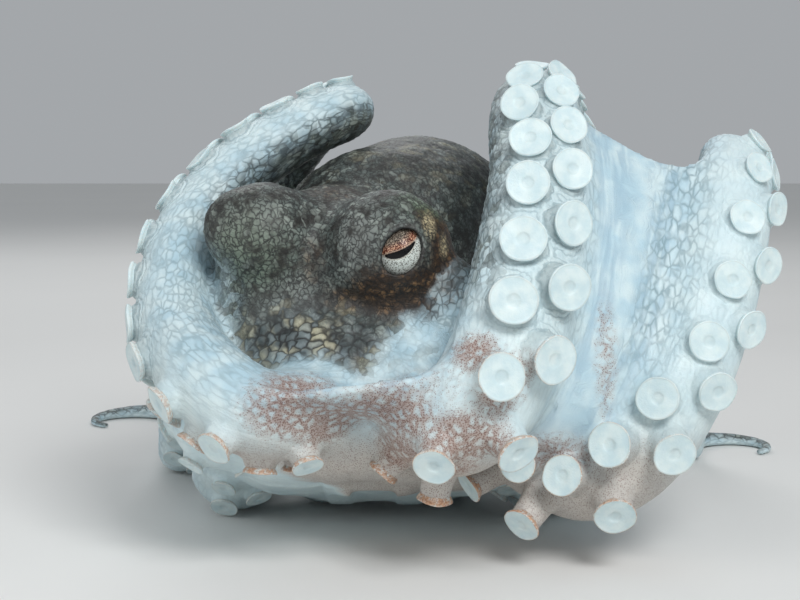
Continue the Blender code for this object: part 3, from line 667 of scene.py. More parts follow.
class Nodes:
    """Short way to write node trees, both for materials and for shaping a mesh."""

    def __init__(self, tree, shaping=False):
        self.tree = tree
        self.shaping = shaping

    def add(self, kind, inputs=(), **settings):
        node = self.tree.nodes.new(kind)
        for key, value in settings.items():
            setattr(node, key, value)
        for socket, value in dict(inputs).items():
            self.set(node.inputs[socket], value)
        return node

    def set(self, socket, value):
        """Link or set a socket; a string stands for the vertex value of that name."""
        if isinstance(value, str):
            value = self.value(value)
        if isinstance(value, bpy.types.NodeSocket):
            self.tree.links.new(value, socket)
        else:
            socket.default_value = value

    def value(self, name, kind="FLOAT", output="Fac"):
        if not self.shaping:
            return self.add("ShaderNodeAttribute", attribute_name=name).outputs[output]
        node = self.add("GeometryNodeInputNamedAttribute", data_type=kind)
        node.inputs["Name"].default_value = name
        return node.outputs[0]

    def vector(self, name):
        return self.value(name, "FLOAT_VECTOR", "Vector")

    def math(self, operation, *values):
        return self.add("ShaderNodeMath", dict(enumerate(values)), operation=operation).outputs[0]

    def times(self, *values):
        return functools.reduce(functools.partial(self.math, "MULTIPLY"), values)

    def plus(self, *values):
        return functools.reduce(functools.partial(self.math, "ADD"), values)

    def minus(self, first, second):
        return self.math("SUBTRACT", first, second)

    def swing(self, value, reach):
        """A value between 0 and 1 made to swing to both sides of nothing."""
        return self.times(self.minus(value, 0.5), reach)

    def ramp(self, value, low, high, to_low=0.0, to_high=1.0):
        node = self.add("ShaderNodeMapRange",
                        {"Value": value, "From Min": low, "From Max": high,
                         "To Min": to_low, "To Max": to_high},
                        interpolation_type="SMOOTHSTEP")
        return node.outputs["Result"]

    def cells(self, place, size, output, feature="F1"):
        """Voronoi cells of about the given size in millimetres."""
        node = self.add("ShaderNodeTexVoronoi", {"Vector": place, "Scale": 1.0 / size,
                                                 "Randomness": 0.9}, feature=feature)
        return node.outputs[output]

    def edges(self, place, size):
        return self.cells(place, size, "Distance", "DISTANCE_TO_EDGE")

    def tint(self, place, size):
        """A random value for each cell."""
        colour = self.cells(place, size, "Color")
        return self.add("ShaderNodeSeparateColor", {"Color": colour}).outputs[0]

    def noise(self, place, size, detail=3.0, rough=0.55):
        node = self.add("ShaderNodeTexNoise", {"Vector": place, "Scale": 1.0 / size,
                                               "Detail": detail, "Roughness": rough})
        return node.outputs[0]

    def warped(self, place, size, reach):
        """The place moved about softly, so that cells lose their straight edges."""
        drift = self.add("ShaderNodeTexNoise", {"Vector": place, "Scale": 1.0 / size,
                                                "Detail": 1.0}).outputs["Color"]
        off = self.vector_math("SUBTRACT", drift, (0.5, 0.5, 0.5))
        return self.vector_math("ADD", place, self.stretch(off, (3 * reach,) * 3))

    def mix(self, share, first, second):
        node = self.add("ShaderNodeMix", data_type="RGBA", clamp_factor=True)
        self.set(node.inputs["Factor"], share)
        self.set(node.inputs[6], first)
        self.set(node.inputs[7], second)
        return node.outputs[2]

    def over(self, under, upper, *shares):
        """One colour laid over another, as strongly as the shares' product says."""
        return self.mix(self.times(*shares), under, upper)

    def vector_math(self, operation, first, second):
        return self.add("ShaderNodeVectorMath", {0: first, 1: second},
                        operation=operation).outputs[0]

    def stretch(self, place, factors):
        return self.vector_math("MULTIPLY", place, factors)

    def dress(self, shader, colour, rough):
        self.tree.links.new(colour, shader.inputs["Base Color"])
        self.tree.links.new(rough, shader.inputs["Roughness"])


def tone(red, green, blue):
    """Display colour to linear."""
    def linear(channel):
        part = channel / 255
        return part / 12.92 if part <= 0.04045 else ((part + 0.055) / 1.055) ** 2.4
    return (linear(red), linear(green), linear(blue), 1.0)


# Display colours of the skin
PALE_BLUE = tone(176, 204, 216)
PALE_WHITE = tone(204, 222, 226)
WEB_BLUE = tone(146, 176, 194)
UNDER_WHITE = tone(218, 232, 232)
# Grey-blue of the pale skin's lines, also the colour of painted shade on bead edges and folds.
PALE_LINE_AND_SHADE = tone(122, 146, 154)
HEAD_DARK = tone(40, 39, 35)
HEAD_GREY = tone(92, 102, 98)
HEAD_LIGHT = tone(158, 168, 160)
HEAD_PEARL = tone(150, 154, 150)
HEAD_GREEN = tone(112, 132, 104)
HEAD_CREAM = tone(196, 182, 146)
BROWN_DARK = tone(60, 44, 31)
BROWN_SPOT = tone(128, 98, 68)
COBBLE_GREY = tone(138, 150, 152)
COBBLE_SAND = tone(190, 186, 160)
COBBLE_DARK = tone(88, 98, 100)
# Dark of the lines between cells, also the colour of painted shade in crevices, at lid edges, in
# folds and at cell edges.
LINE_AND_SHADE_DARK = tone(24, 24, 24)
RUST_WASH = tone(160, 130, 116)
RUST_DOT = tone(106, 64, 50)
TAN_WASH = tone(206, 174, 144)
RIM_SHADE = tone(130, 140, 140)


def skin_cells(nodes):
    """Edge distances of the skin's three kinds of cell, and places to colour them by."""
    rest, flow = nodes.vector("rest"), nodes.vector("flow")
    fine_place = nodes.warped(nodes.stretch(rest, (1.0, 0.85, 0.85)), 2.0, 0.9)
    cobble_place = nodes.warped(rest, 3.2, 0.9)
    ridge_place = nodes.warped(flow, 2.8, 0.6)
    return {
        "fine_place": fine_place, "cobble_place": cobble_place, "ridge_place": ridge_place,
        "fine": nodes.edges(fine_place, FINE_CELL),
        "cobble": nodes.edges(cobble_place, COBBLE_CELL),
        "pebble": nodes.cells(cobble_place, COBBLE_CELL, "Distance"),
        "ridge": nodes.edges(ridge_place, RIDGE_CELL),
    }


def skin_folds(nodes):
    """Height in millimetres of the folds that ring the suckers."""
    drift = nodes.times(nodes.noise(nodes.vector("rest"), 5.0), 4.0)
    ripple = nodes.plus("ring", drift)
    fold = nodes.math("SINE", nodes.times(ripple, 2 * math.pi / 1.5))
    return nodes.times(fold, nodes.ramp("ring", 6.5, 0.2), "folds", 0.17)


def skin_relief(nodes, cells):
    """Height in millimetres of the cobbles, fine cells, arm ridges and folds of the skin."""
    cobble = nodes.times(nodes.ramp(cells["cobble"], 0.0, 0.24),
                         nodes.ramp(cells["pebble"], 0.80, 0.38))
    fine = nodes.ramp(cells["fine"], 0.0, 0.40)
    ridge = nodes.ramp(cells["ridge"], 0.0, 0.38)
    return nodes.plus(nodes.times(cobble, "cobble", 0.85), nodes.times(fine, "fine", 0.26),
                      nodes.times(ridge, "ridge", "net", 0.42), skin_folds(nodes))


def shape_skin(skin):
    """Push the skin's own relief out of the smooth form, then thin the mesh where it is flat."""
    tree = bpy.data.node_groups.new("relief", "GeometryNodeTree")
    tree.interface.new_socket("Geometry", in_out="INPUT", socket_type="NodeSocketGeometry")
    tree.interface.new_socket("Geometry", in_out="OUTPUT", socket_type="NodeSocketGeometry")
    nodes = Nodes(tree, shaping=True)
    entry, leave = nodes.add("NodeGroupInput"), nodes.add("NodeGroupOutput")
    swell = nodes.swing(nodes.noise(nodes.vector("rest"), 17.0, 2.0), 1.5)
    total = nodes.plus(skin_relief(nodes, skin_cells(nodes)), nodes.times(swell, "loose"))
    total = nodes.times(nodes.minus(total, 0.25), "free", MM)
    normal = nodes.add("GeometryNodeInputNormal").outputs[0]
    offset = nodes.add("ShaderNodeVectorMath", {0: normal}, operation="SCALE")
    tree.links.new(total, offset.inputs["Scale"])
    moved = nodes.add("GeometryNodeSetPosition", {"Geometry": entry.outputs[0],
                                                  "Offset": offset.outputs[0]})
    tree.links.new(moved.outputs[0], leave.inputs[0])
    relief = skin.modifiers.new("relief", "NODES")
    relief.node_group = tree
    thin = skin.modifiers.new("thin", "DECIMATE")
    thin.ratio = min(1.0, FACES_KEPT / (2 * len(skin.data.polygons)))
    bpy.context.view_layer.update()
    graph = bpy.context.evaluated_depsgraph_get()
    shaped = bpy.data.meshes.new_from_object(skin.evaluated_get(graph),
                                             preserve_all_data_layers=True, depsgraph=graph)
    skin.modifiers.clear()
    skin.data = shaped
    bpy.data.node_groups.remove(tree)


# ---------------------------------------------------------------- markings and painted shade

# Patches of colour, painted shade or texture: middle, half axes in millimetres, and strength
RUST = [((-29, -48, 50), (15, 14, 10), 1.0), ((-17, -50, 45), (15, 13, 10), 0.95),
        ((-3, -55, 49), (15, 13, 10), 0.9), ((0, -46, 36), (12, 15, 9), 0.95),
        ((17, -61, 42), (14, 12, 9), 1.0), ((26, -60, 55), (7, 10, 7), 0.8),
        ((20, -57, 66), (8, 10, 6), 0.8), ((31, -62, 60), (7, 9, 10), 0.75),
        ((58, -29, 60), (3.5, 14, 20), 0.6), ((42, -40, 33), (16, 14, 8), 0.7),
        ((62, -42, 34), (10, 12, 8), 0.35), ((-48, -42, 36), (10, 10, 6), 0.6),
        ((10, -52, 33), (16, 12, 8), 0.75), ((0, -50, 54), (40, 18, 16), 0.35)]
BROWN = [((1, -22, 79), (17, 12, 9.5), 1.0), ((12, -15, 89), (6.5, 11, 13), 1.0),
         ((8, -18, 100), (4.5, 8, 5), 0.8),
         ((-14, -16, 76), (10, 10, 5), 0.75), ((-25, -8, 86), (6, 12, 12), 0.5),
         ((-20, 10, 106), (14, 14, 6), 0.45), ((5, 50, 112), (34, 34, 20), 0.4)]
CREAM = [((8.2, -18, 97), (2.6, 8, 5.5), 0.75), ((12.4, -16, 91), (2.0, 7, 5.0), 0.65),
         ((-18, -18, 68), (9, 9, 5), 0.4)]
GREEN = [((7, -12, 103), (9, 9, 5), 0.85), ((-44, -12, 90), (12, 9, 12), 0.75)]
PEARL = [((-11, -20, 92), (8, 9, 13), 0.75), ((-44, -12, 93), (12, 10, 13), 0.7),
         ((-34, -14, 76), (12, 9, 8), 0.5)]
COBBLES = [((-26, -16, 63), (25, 22, 11), 1.0), ((-8, -18, 64), (14, 16, 8), 0.7),
           ((8, 60, 110), (40, 34, 22), 0.45)]
CHEEK_LOBES = (7, 8)           # the two low lobes by the left front arm, as pale as the arm
PALE_HEAD = [((-28, -28, 50), (30, 18, 9), 0.9), ((-52, 4, 70), (6, 14, 22), 0.7)]
# The first patch greys the flank of arm l1; the others are painted shade, under arm r1 by the
# mantle and in the crevice between the head and arm l1.
GREY_FLANK_AND_SHADE = [((24, -8, 96), (8, 20, 24), 0.8), ((-24, 44, 112), (22, 22, 9), 0.7),
             ((17, -16, 89), (5, 11, 8), 1.0), ((13, -18, 80), (6, 11, 6), 1.0),
             ((5, -20, 74), (7, 11, 4.5), 0.9)]
# Painted shade: dark patches in the crevices between the head and arms l1 and r1.
CREVICE_SHADE = [((19, -14, 92), (4, 12, 10), 0.8), ((15.5, -17, 82), (4.5, 11, 6), 0.8),
            ((8, -19, 75), (7, 11, 3.5), 0.6), ((-20, -8, 84), (5, 12, 10), 0.45)]
PATCHES = {"rust": RUST, "brown": BROWN, "cream": CREAM, "green": GREEN, "pearl": PEARL,
           "crevice_shade": CREVICE_SHADE}


# Sizes for the searches below: points at a time, margin round an arm, greatest gap that counts
CHUNK = 4000
ARM_MARGIN = 40
GAP_MOST = 20.0
FAR = 1e3


def patch(points, blobs):
    """Greatest of several soft patches at each point."""
    most = np.zeros(len(points))
    for centre, half, strength in blobs:
        off = np.sum(((points - centre) / half) ** 2, axis=1)
        most = np.maximum(most, strength * np.exp(-off ** 1.5))
    return most


def arm_places(points, arms):
    """For every point the nearest arm, its place on that arm, and how clearly it is nearest."""
    best = np.full(len(points), FAR)
    second = np.full(len(points), FAR)
    index = np.zeros(len(points), int)
    place = np.zeros((len(points), 3))
    for number, arm in enumerate(arms.values()):
        low = arm.line.min(axis=0) - ARM_MARGIN
        high = arm.line.max(axis=0) + ARM_MARGIN
        near = np.flatnonzero(np.all((points > low) & (points < high), axis=1))
        score = np.full(len(near), FAR)
        local = np.zeros((len(near), 3))
        for chunk in np.array_split(np.arange(len(near)), max(1, len(near) // CHUNK)):
            spot = points[near[chunk]].astype(np.float32)
            line = arm.line.astype(np.float32)
            gap = (np.sum(spot ** 2, axis=1)[:, None] - 2 * spot @ line.T
                   + np.sum(line ** 2, axis=1)[None])
            nearest = np.argmin(gap, axis=1)
            off = spot - arm.line[nearest]
            along = np.sum(off * arm.tangents[nearest], axis=1)
            s = arm.stations[nearest] + along
            side = np.sum(off * arm.side[nearest], axis=1)
            oral = np.sum(off * arm.oral[nearest], axis=1)
            score[chunk] = np.hypot(side, oral) - arm.width(np.clip(s, 0, arm.length))
            score[chunk] += 0.6 * np.maximum(-s, 0)
            local[chunk] = np.stack([s, side, oral], 1)
        closer = score < best[near]
        second[near] = np.where(closer, best[near], np.minimum(second[near], score))
        chosen = near[closer]
        best[chosen] = score[closer]
        index[chosen] = number
        place[chosen] = local[closer]
    return index, place, best, second


def sucker_gap(points, index, arms, suckers):
    """Distance from each point to the rim of the nearest sucker of its own arm."""
    gap = np.full(len(points), GAP_MOST)
    for number, key in enumerate(arms):
        mine = np.flatnonzero(index == number)
        large = [one for one in suckers[key] if one["radius"] > MOUND_LEAST]
        feet = np.array([one["foot"] for one in large])
        radii = np.array([one["radius"] for one in large])
        for chunk in np.array_split(mine, max(1, len(mine) // CHUNK)):
            off = np.linalg.norm(points[chunk][:, None] - feet[None], axis=2) - radii
            gap[chunk] = np.minimum(GAP_MOST, off.min(axis=1))
    return gap


def pale_cheeks(points):
    """How far the low front of the head is as pale as the arms."""
    lobes = [ellipsoid(*points.T, *lobe) for lobe in HEAD_LOBES]
    cheek = np.minimum.reduce([lobes[number] for number in CHEEK_LOBES])
    others = np.minimum.reduce([lobe for number, lobe in enumerate(lobes)
                                if number not in CHEEK_LOBES])
    below_brow = points[:, 0] + 4 - 0.8 * (np.minimum(points[:, 2], 72) - 66)
    pale = smooth_step(others - cheek, -0.6, 1.8) * smooth_step(below_brow, -4, 7)
    return np.maximum(pale, patch(points, PALE_HEAD))


def lid_gap(points):
    """Distance from each point to the edge of the nearest lid opening."""
    least = np.full(len(points), GAP_MOST)
    for eye in EYES.values():
        near = np.linalg.norm(points - eye["centre"], axis=1) < eye["radius"] + 3
        least[near] = np.minimum(least[near], np.abs(eye_opening(*points[near].T, eye)))
    return least


def skin_values(points, arms, suckers):
    """Everything that the skin's material and relief read, worked out at its vertices."""
    index, place, best, second = arm_places(points, arms)
    body = body_distance(points[:, 0], points[:, 1], points[:, 2])
    mouthward = (points - CROWN_CENTRE) @ MOUTHWARD
    hub = smooth_step(mouthward, -2.0, 6.0) * smooth_step(from_crown(*points.T), 52.0, 44.0)
    limb = np.maximum(smooth_step(body - best, -3.0, 5.0), hub)
    clear = smooth_step(second - best, 3.0, 9.0)
    s, side, oral = place.T
    around = np.arctan2(side, oral)
    sucker_side = smooth_step(np.cos(around), -0.15, 0.75)
    ring = sucker_gap(points, index, arms, suckers)
    flow = np.stack([s / 2.0 + 61.0 * index, side, oral], 1)
    names = list(arms)
    on = {key: (index == names.index(key)) * limb for key in FRONT_ARMS}
    front = sum(on.values())
    web = limb * smooth_step(best, 0.8, 4.5) * (1 - hub)
    upper = (1 - smooth_step(np.cos(around), -0.75, 0.1)) * (1 - 0.8 * front * web)
    behind = limb * (1 - front)
    pale_head = pale_cheeks(points)
    shade = (1 - limb) * (1 - pale_head) + behind * upper * 0.75
    leftward = -side / np.maximum(arms["l1"].width(s), 1)
    flank_l1 = on["l1"] * smooth_step(leftward, 0.45, 0.9) * smooth_step(s, 45, 80)
    flank_l2 = on["l2"] * smooth_step(leftward, 0.3, 0.8) * smooth_step(leftward, 2.3, 1.3)
    flank_l2 *= smooth_step(s, 55, 85)
    shade += flank_l1 * 0.5
    shade += (on["l1"] + on["l2"]) * upper * 0.65 * smooth_step(s, 140, 200)
    # Dark lower side of arm r1's far part, partly painted shade where it lies in shadow by the
    # mantle.
    shade += on["r1"] * upper * 0.9 * smooth_step(s, 95, 150)
    net = 0.55 * behind + 0.55 * on["r1"] + 0.45 * on["l1"] + 0.35 * on["l2"]
    net = np.maximum(net, np.maximum(0.95 * flank_l1, 0.8 * flank_l2))
    net *= 1 - 0.93 * web * (1 - flank_l2)
    net = np.maximum(net, 0.55 * pale_head * (1 - limb))
    # grey flank of arm l1, and painted shade under arm r1 and beside the head
    shade = np.clip(np.maximum(shade, 0.8 * patch(points, GREY_FLANK_AND_SHADE)), 0, 1)
    ridge = np.maximum(limb * clear, pale_head * (1 - limb)) * (1 - 0.7 * sucker_side * limb)
    ridge *= 0.5 + 0.5 * smooth_step(s, 10, 60)
    ridge *= smooth_step(arms["l1"].length * 0.98 - s, 0, 60)
    below = smooth_step(points[:, 2], 1.0, 4.0)
    eye_gap = lid_gap(points)
    fringe = front * smooth_step(points[:, 2], 48, 30) * smooth_step(s, 75, 45)
    fringe *= 0.35 + 0.65 * sucker_side
    cobbles = patch(points, COBBLES)
    free = below * smooth_step(eye_gap, 0.2, 1.6) * smooth_step(ring, -0.5, 0.6)
    return {
        "rest": points,
        "flow": flow,
        "limb": limb * clear,
        "shade": shade,
        "cobble": cobbles * (1 - 0.7 * np.maximum(limb, pale_head)),
        "fine": (1 - limb) * (1 - cobbles) * (1 - pale_head),
        "net": net,
        "web": web * clear,
        "ridge": ridge,
        "folds": front * clear * sucker_side * smooth_step(s, 38, 58) * (1 - 0.6 * on["l2"]),
        # painted shade along the lid edges
        "lid": 1 - smooth_step(eye_gap, 0.15, 0.9),
        "ring": ring,
        "loose": 0.35 + 0.65 * (1 - limb),
        "free": free,
        "fringe": fringe,
        "underside": sucker_side * limb,
        **{name: patch(points, blobs) for name, blobs in PATCHES.items()},
    }


# ---------------------------------------------------------------- materials

def new_material(name):
    made = bpy.data.materials.new(name)
    made.use_nodes = True
    return made, Nodes(made.node_tree), made.node_tree.nodes["Principled BSDF"]


def bump(nodes, shader, height, strength):
    """Bump from a height in millimetres."""
    node = nodes.add("ShaderNodeBump", {"Strength": strength, "Distance": MM, "Height": height})
    nodes.tree.links.new(node.outputs[0], shader.inputs["Normal"])


FLESH = {"Subsurface Radius": (1.0, 0.75, 0.65), "Subsurface Scale": 0.0022,
         "Specular IOR Level": 0.42, "Coat Weight": 0.10, "Coat Roughness": 0.35}
WET_EYE = {"Specular IOR Level": 0.22, "Coat Weight": 0.08, "Coat Roughness": 0.08}
SKIN_GLOW = 0.08               # subsurface weight
SUCKER_GLOW = 0.22


def finish(shader, values):
    for name, value in values.items():
        shader.inputs[name].default_value = value


def skin_texture(nodes):
    """The cells and noises that the skin's colours share."""
    rest, flow = nodes.vector("rest"), nodes.vector("flow")
    look = skin_cells(nodes)
    look["mottle"] = nodes.noise(rest, 9.0, 2.0)
    look["patchy"] = nodes.noise(rest, 4.2, 2.0, 0.6)
    look["grain"] = nodes.noise(rest, 0.55, 1.0)
    look["streak"] = nodes.noise(nodes.stretch(flow, (0.22, 1.0, 1.0)), 2.4, 2.0)
    look["rust_place"] = nodes.warped(rest, 2.4, 0.4)
    look["fine_tint"] = nodes.tint(look["fine_place"], FINE_CELL)
    look["cobble_tint"] = nodes.tint(look["cobble_place"], COBBLE_CELL)
    look["ridge_tint"] = nodes.tint(look["ridge_place"], RIDGE_CELL)
    return look


def pale_skin(nodes, look):
    """Blue-white of the arms and web, with a net of pale beads."""
    pale = nodes.mix(nodes.ramp(look["mottle"], 0.35, 0.7), PALE_BLUE, PALE_WHITE)
    pale = nodes.over(pale, WEB_BLUE, "web", nodes.ramp(look["streak"], 0.62, 0.38), 0.6)
    pale = nodes.over(pale, UNDER_WHITE, "underside", 0.6)
    bead = nodes.times("ridge", "net")
    pale = nodes.over(pale, UNDER_WHITE, bead, nodes.ramp(look["ridge_tint"], 0.3, 1.0), 0.45)
    # Painted shade: the beads darken softly towards their edges, so that they look rounded.
    pale = nodes.over(pale, PALE_LINE_AND_SHADE, bead, nodes.ramp(look["ridge"], 0.34, 0.04), 0.4)
    return nodes.over(pale, PALE_LINE_AND_SHADE, nodes.ramp(look["ridge"], 0.16, 0.02), bead,
                      nodes.ramp(look["patchy"], 0.25, 0.6), 0.9)


def dark_skin(nodes, look):
    """Grey, brown, green and cream of the head, with its cobbles."""
    patchy, mottle = look["patchy"], look["mottle"]
    dark = nodes.mix(nodes.ramp(patchy, 0.40, 0.62), HEAD_DARK, HEAD_GREY)
    dark = nodes.over(dark, HEAD_LIGHT, nodes.ramp(look["fine_tint"], 0.45, 1.0),
                      nodes.ramp(mottle, 0.3, 0.6), 0.7)
    dark = nodes.over(dark, HEAD_PEARL, "pearl", nodes.ramp(patchy, 0.3, 0.6), 0.75)
    spots = nodes.ramp(nodes.cells(look["rust_place"], 2.6, "Distance"), 0.55, 0.20)
    brown = nodes.over(BROWN_DARK, BROWN_SPOT, spots, nodes.ramp(patchy, 0.36, 0.60))
    dark = nodes.mix(nodes.ramp("brown", 0.15, 0.75), dark, brown)
    dark = nodes.over(dark, HEAD_GREEN, "green", nodes.ramp(patchy, 0.3, 0.6), 0.7)
    dark = nodes.over(dark, HEAD_CREAM, nodes.ramp("cream", 0.2, 0.7),
                      nodes.ramp(look["grain"], 0.3, 0.55), 0.9)
    cobble = nodes.mix(nodes.ramp(look["cobble_tint"], 0.35, 0.75), COBBLE_GREY, COBBLE_SAND)
    cobble = nodes.mix(nodes.ramp(mottle, 0.62, 0.42), cobble, COBBLE_DARK)
    dark = nodes.over(dark, cobble, "cobble", 0.9)
    # Painted shade: the cobbles and fine cells darken towards their edges, so that they look
    # rounded.
    cobble_edge_shade = nodes.times(nodes.ramp(look["cobble"], 0.30, 0.04), "cobble")
    fine_edge_shade = nodes.times(nodes.ramp(look["fine"], 0.34, 0.04), "fine", 0.8)
    return nodes.over(dark, LINE_AND_SHADE_DARK, nodes.plus(cobble_edge_shade, fine_edge_shade), 0.45)


def dark_lines(nodes, look):
    """Strength of the dark lines between the cells."""
    fine = nodes.times(nodes.ramp(look["fine"], 0.13, 0.01), "fine",
                       nodes.ramp(look["patchy"], 0.3, 0.6, 0.25, 1.0))
    cobble = nodes.times(nodes.ramp(look["cobble"], 0.15, 0.02), "cobble")
    limb = nodes.times(nodes.ramp(look["ridge"], 0.15, 0.02), "ridge", 0.6)
    return nodes.math("MAXIMUM", nodes.math("MAXIMUM", fine, cobble), limb)


def with_rust(nodes, look, colour):
    """Rust mesh and dots of the lower front, and the tan of the lowest edge."""
    rust = nodes.plus("rust", nodes.swing(look["patchy"], 0.4))
    rust = nodes.times(nodes.ramp(rust, 0.0, 0.85), nodes.ramp("rust", 0.02, 0.30))
    mesh = nodes.ramp(nodes.edges(look["rust_place"], 2.9), 0.34, 0.06)
    wash = nodes.times(rust, nodes.plus(nodes.times(mesh, 0.68), nodes.times(rust, 0.32)))
    wash = nodes.math("MAXIMUM", wash, nodes.times("fringe", 0.42))
    colour = nodes.over(colour, TAN_WASH, "fringe", 0.32)
    colour = nodes.over(colour, RUST_WASH, wash, 0.75)
    dots = nodes.minus(nodes.cells(look["rust_place"], 0.46, "Distance"), nodes.times(wash, 0.26))
    return nodes.over(colour, RUST_DOT, nodes.ramp(dots, 0.30, 0.12),
                      nodes.ramp(wash, 0.02, 0.25), 0.7)


def skin_material():
    made, nodes, shader = new_material("octopus_skin")
    look = skin_texture(nodes)
    folds = skin_folds(nodes)
    shade = nodes.value("shade")
    between = nodes.times(shade, nodes.minus(1.0, shade), 3.0)
    uneven = nodes.plus(nodes.swing(look["cobble_tint"], 0.9), nodes.swing(look["patchy"], 0.8))
    colour = nodes.mix(nodes.plus(shade, nodes.times(uneven, between)),
                       pale_skin(nodes, look), dark_skin(nodes, look))
    colour = nodes.over(colour, LINE_AND_SHADE_DARK, dark_lines(nodes, look),
                        nodes.ramp(shade, 0.02, 0.3), 0.85)
    colour = with_rust(nodes, look, colour)
    colour = nodes.over(colour, RIM_SHADE, nodes.ramp("ring", 1.3, 0.0), "folds", 0.4)
    # painted shade darkens the crevices where the head and the arms meet
    colour = nodes.over(colour, LINE_AND_SHADE_DARK, "crevice_shade", 0.75)
    # Painted shade: a dark line along the edges of the lids.
    colour = nodes.over(colour, LINE_AND_SHADE_DARK, "lid", 0.8)
    # Painted shade in the troughs of the folds round the suckers.
    colour = nodes.over(colour, nodes.mix(shade, PALE_LINE_AND_SHADE, LINE_AND_SHADE_DARK),
                        nodes.ramp(folds, -0.02, -0.14), 0.4)

    crinkle = nodes.noise(nodes.stretch(nodes.vector("rest"), (1, 1, 1.6)), 1.1, 2.0)
    wrinkles = nodes.times(nodes.swing(crinkle, 0.45), "fine")
    streaks = nodes.times(nodes.swing(look["streak"], 0.6), "limb")
    height = nodes.plus(folds, nodes.swing(look["grain"], 0.16), streaks, wrinkles)
    bump(nodes, shader, height, 0.8)
    nodes.dress(shader, colour, nodes.ramp(look["grain"], 0.2, 0.8, 0.42, 0.62))
    finish(shader, FLESH | {"Subsurface Weight": SKIN_GLOW})
    return made


def sucker_material():
    made, nodes, shader = new_material("octopus_sucker")
    rest = nodes.vector("rest")
    wall, blush, ring = nodes.value("wall"), nodes.value("blush"), nodes.value("ring")
    mottle = nodes.noise(rest, 4.0, 3.0)
    colour = nodes.mix(nodes.ramp(mottle, 0.3, 0.7), tone(198, 218, 222), tone(216, 230, 230))
    dish = nodes.times(nodes.ramp(ring, 0.89, 0.93), nodes.ramp(ring, 0.98, 0.95), 0.22)
    colour = nodes.mix(dish, colour, tone(160, 164, 156))
    middle = nodes.times(nodes.ramp(ring, 0.33, 0.25), 0.18)
    colour = nodes.mix(middle, colour, tone(178, 192, 192))
    orange = nodes.times(wall, blush, nodes.ramp(nodes.noise(rest, 1.2, 2.0), 0.25, 0.6))
    colour = nodes.over(colour, tone(190, 136, 88), orange, 0.85)
    dots = nodes.ramp(nodes.noise(rest, 0.40, 1.0), 0.52, 0.60)
    colour = nodes.over(colour, tone(140, 84, 56), dots, wall, blush, 0.7)
    grain = nodes.noise(rest, 0.5, 2.0)
    bump(nodes, shader, nodes.times(grain, 0.10), 0.8)
    nodes.dress(shader, colour, nodes.ramp(grain, 0.2, 0.8, 0.38, 0.55))
    finish(shader, FLESH | {"Subsurface Weight": SUCKER_GLOW})
    return made


def eye_material():
    """Silver and red-brown speckled eye with a dark, gently curved slit pupil."""
    made, nodes, shader = new_material("octopus_eye")
    gaze = nodes.vector("gaze")
    split = nodes.add("ShaderNodeSeparateXYZ", {0: gaze})
    along, across = split.outputs[0], split.outputs[1]
    curve = nodes.plus(nodes.times(along, along, PUPIL_CURVE), -0.30)
    off = nodes.minus(across, curve)
    reach = nodes.math("DIVIDE", along, PUPIL_REACH)
    inside = nodes.math("MAXIMUM", nodes.minus(1.0, nodes.times(reach, reach)), 0.0)
    taper = nodes.math("SQRT", inside)
    half = nodes.times(taper, nodes.plus(nodes.times(along, -0.06), PUPIL_HALF_WIDTH))
    edge = nodes.minus(half, nodes.math("ABSOLUTE", off))
    pupil = nodes.ramp(edge, -0.08, 0.08)
    rim = nodes.times(nodes.ramp(edge, -0.42, -0.22), nodes.ramp(edge, 0.02, -0.12))
    speck = nodes.noise(gaze, 0.38, 2.0, 0.7)
    broad = nodes.noise(gaze, 2.2, 2.0)
    silver = nodes.mix(nodes.ramp(speck, 0.50, 0.60), tone(214, 220, 214), tone(92, 92, 84))
    above = nodes.ramp(off, 4.2, 1.6)
    red = nodes.mix(nodes.ramp(speck, 0.40, 0.52), tone(214, 170, 140), tone(88, 38, 28))
    brown = nodes.mix(nodes.ramp(speck, 0.40, 0.54), tone(152, 142, 128), tone(58, 50, 44))
    top = nodes.over(brown, red, above, nodes.ramp(broad, 0.2, 0.5))
    colour = nodes.mix(nodes.ramp(off, 0.1, 0.5), silver, top)
    colour = nodes.over(colour, tone(170, 156, 140), rim, 0.6)
    colour = nodes.mix(pupil, colour, tone(6, 6, 8))
    bump(nodes, shader, nodes.times(speck, 0.05), 0.5)
    nodes.dress(shader, colour, nodes.ramp(speck, 0.3, 0.7, 0.22, 0.38))
    finish(shader, WET_EYE)
    return made


# ---------------------------------------------------------------- eyes

def eye_axes(eye, tilt):
    """Look direction and two directions across it, the first turned up by the tilt."""
    look = unit(np.array(eye["look"], float))
    right = unit(np.cross((0, 0, 1), look))
    up = np.cross(look, right)
    turn = math.radians(tilt)
    first = right * math.cos(turn) + up * math.sin(turn)
    second = -right * math.sin(turn) + up * math.cos(turn)
    return look, first, second


def eye_opening(x, y, z, eye):
    """Distance in millimetres to the edge of the lid opening, negative in the opening."""
    look, first, second = eye_axes(eye, eye["lid_tilt"])
    parts = offsets(x, y, z, eye["centre"])
    along, a, b = dot(parts, look), dot(parts, first), dot(parts, second)
    half_a, half_b = eye["opening"]
    ring = (np.sqrt((a / half_a) ** 2 + (b / half_b) ** 2) - 1) * math.sqrt(half_a * half_b)
    return np.maximum(ring, -along)


def open_lids(field, eye):
    """Cover the eyeball with a lid, cut the opening, and hollow the socket."""
    centre = np.array(eye["centre"])
    reach = eye["radius"] + 12
    window = field.window(centre - reach, centre + reach)
    x, y, z = field.axes(window)
    ball = length_of(offsets(x, y, z, centre)) - eye["radius"]
    part = smooth_min(field.values[window], ball - LID_THICKNESS, LID_BLEND)
    part = smooth_max(part, -eye_opening(x, y, z, eye), LID_SOFT)
    field.values[window] = np.maximum(part, -(ball - EYE_CLEARANCE))


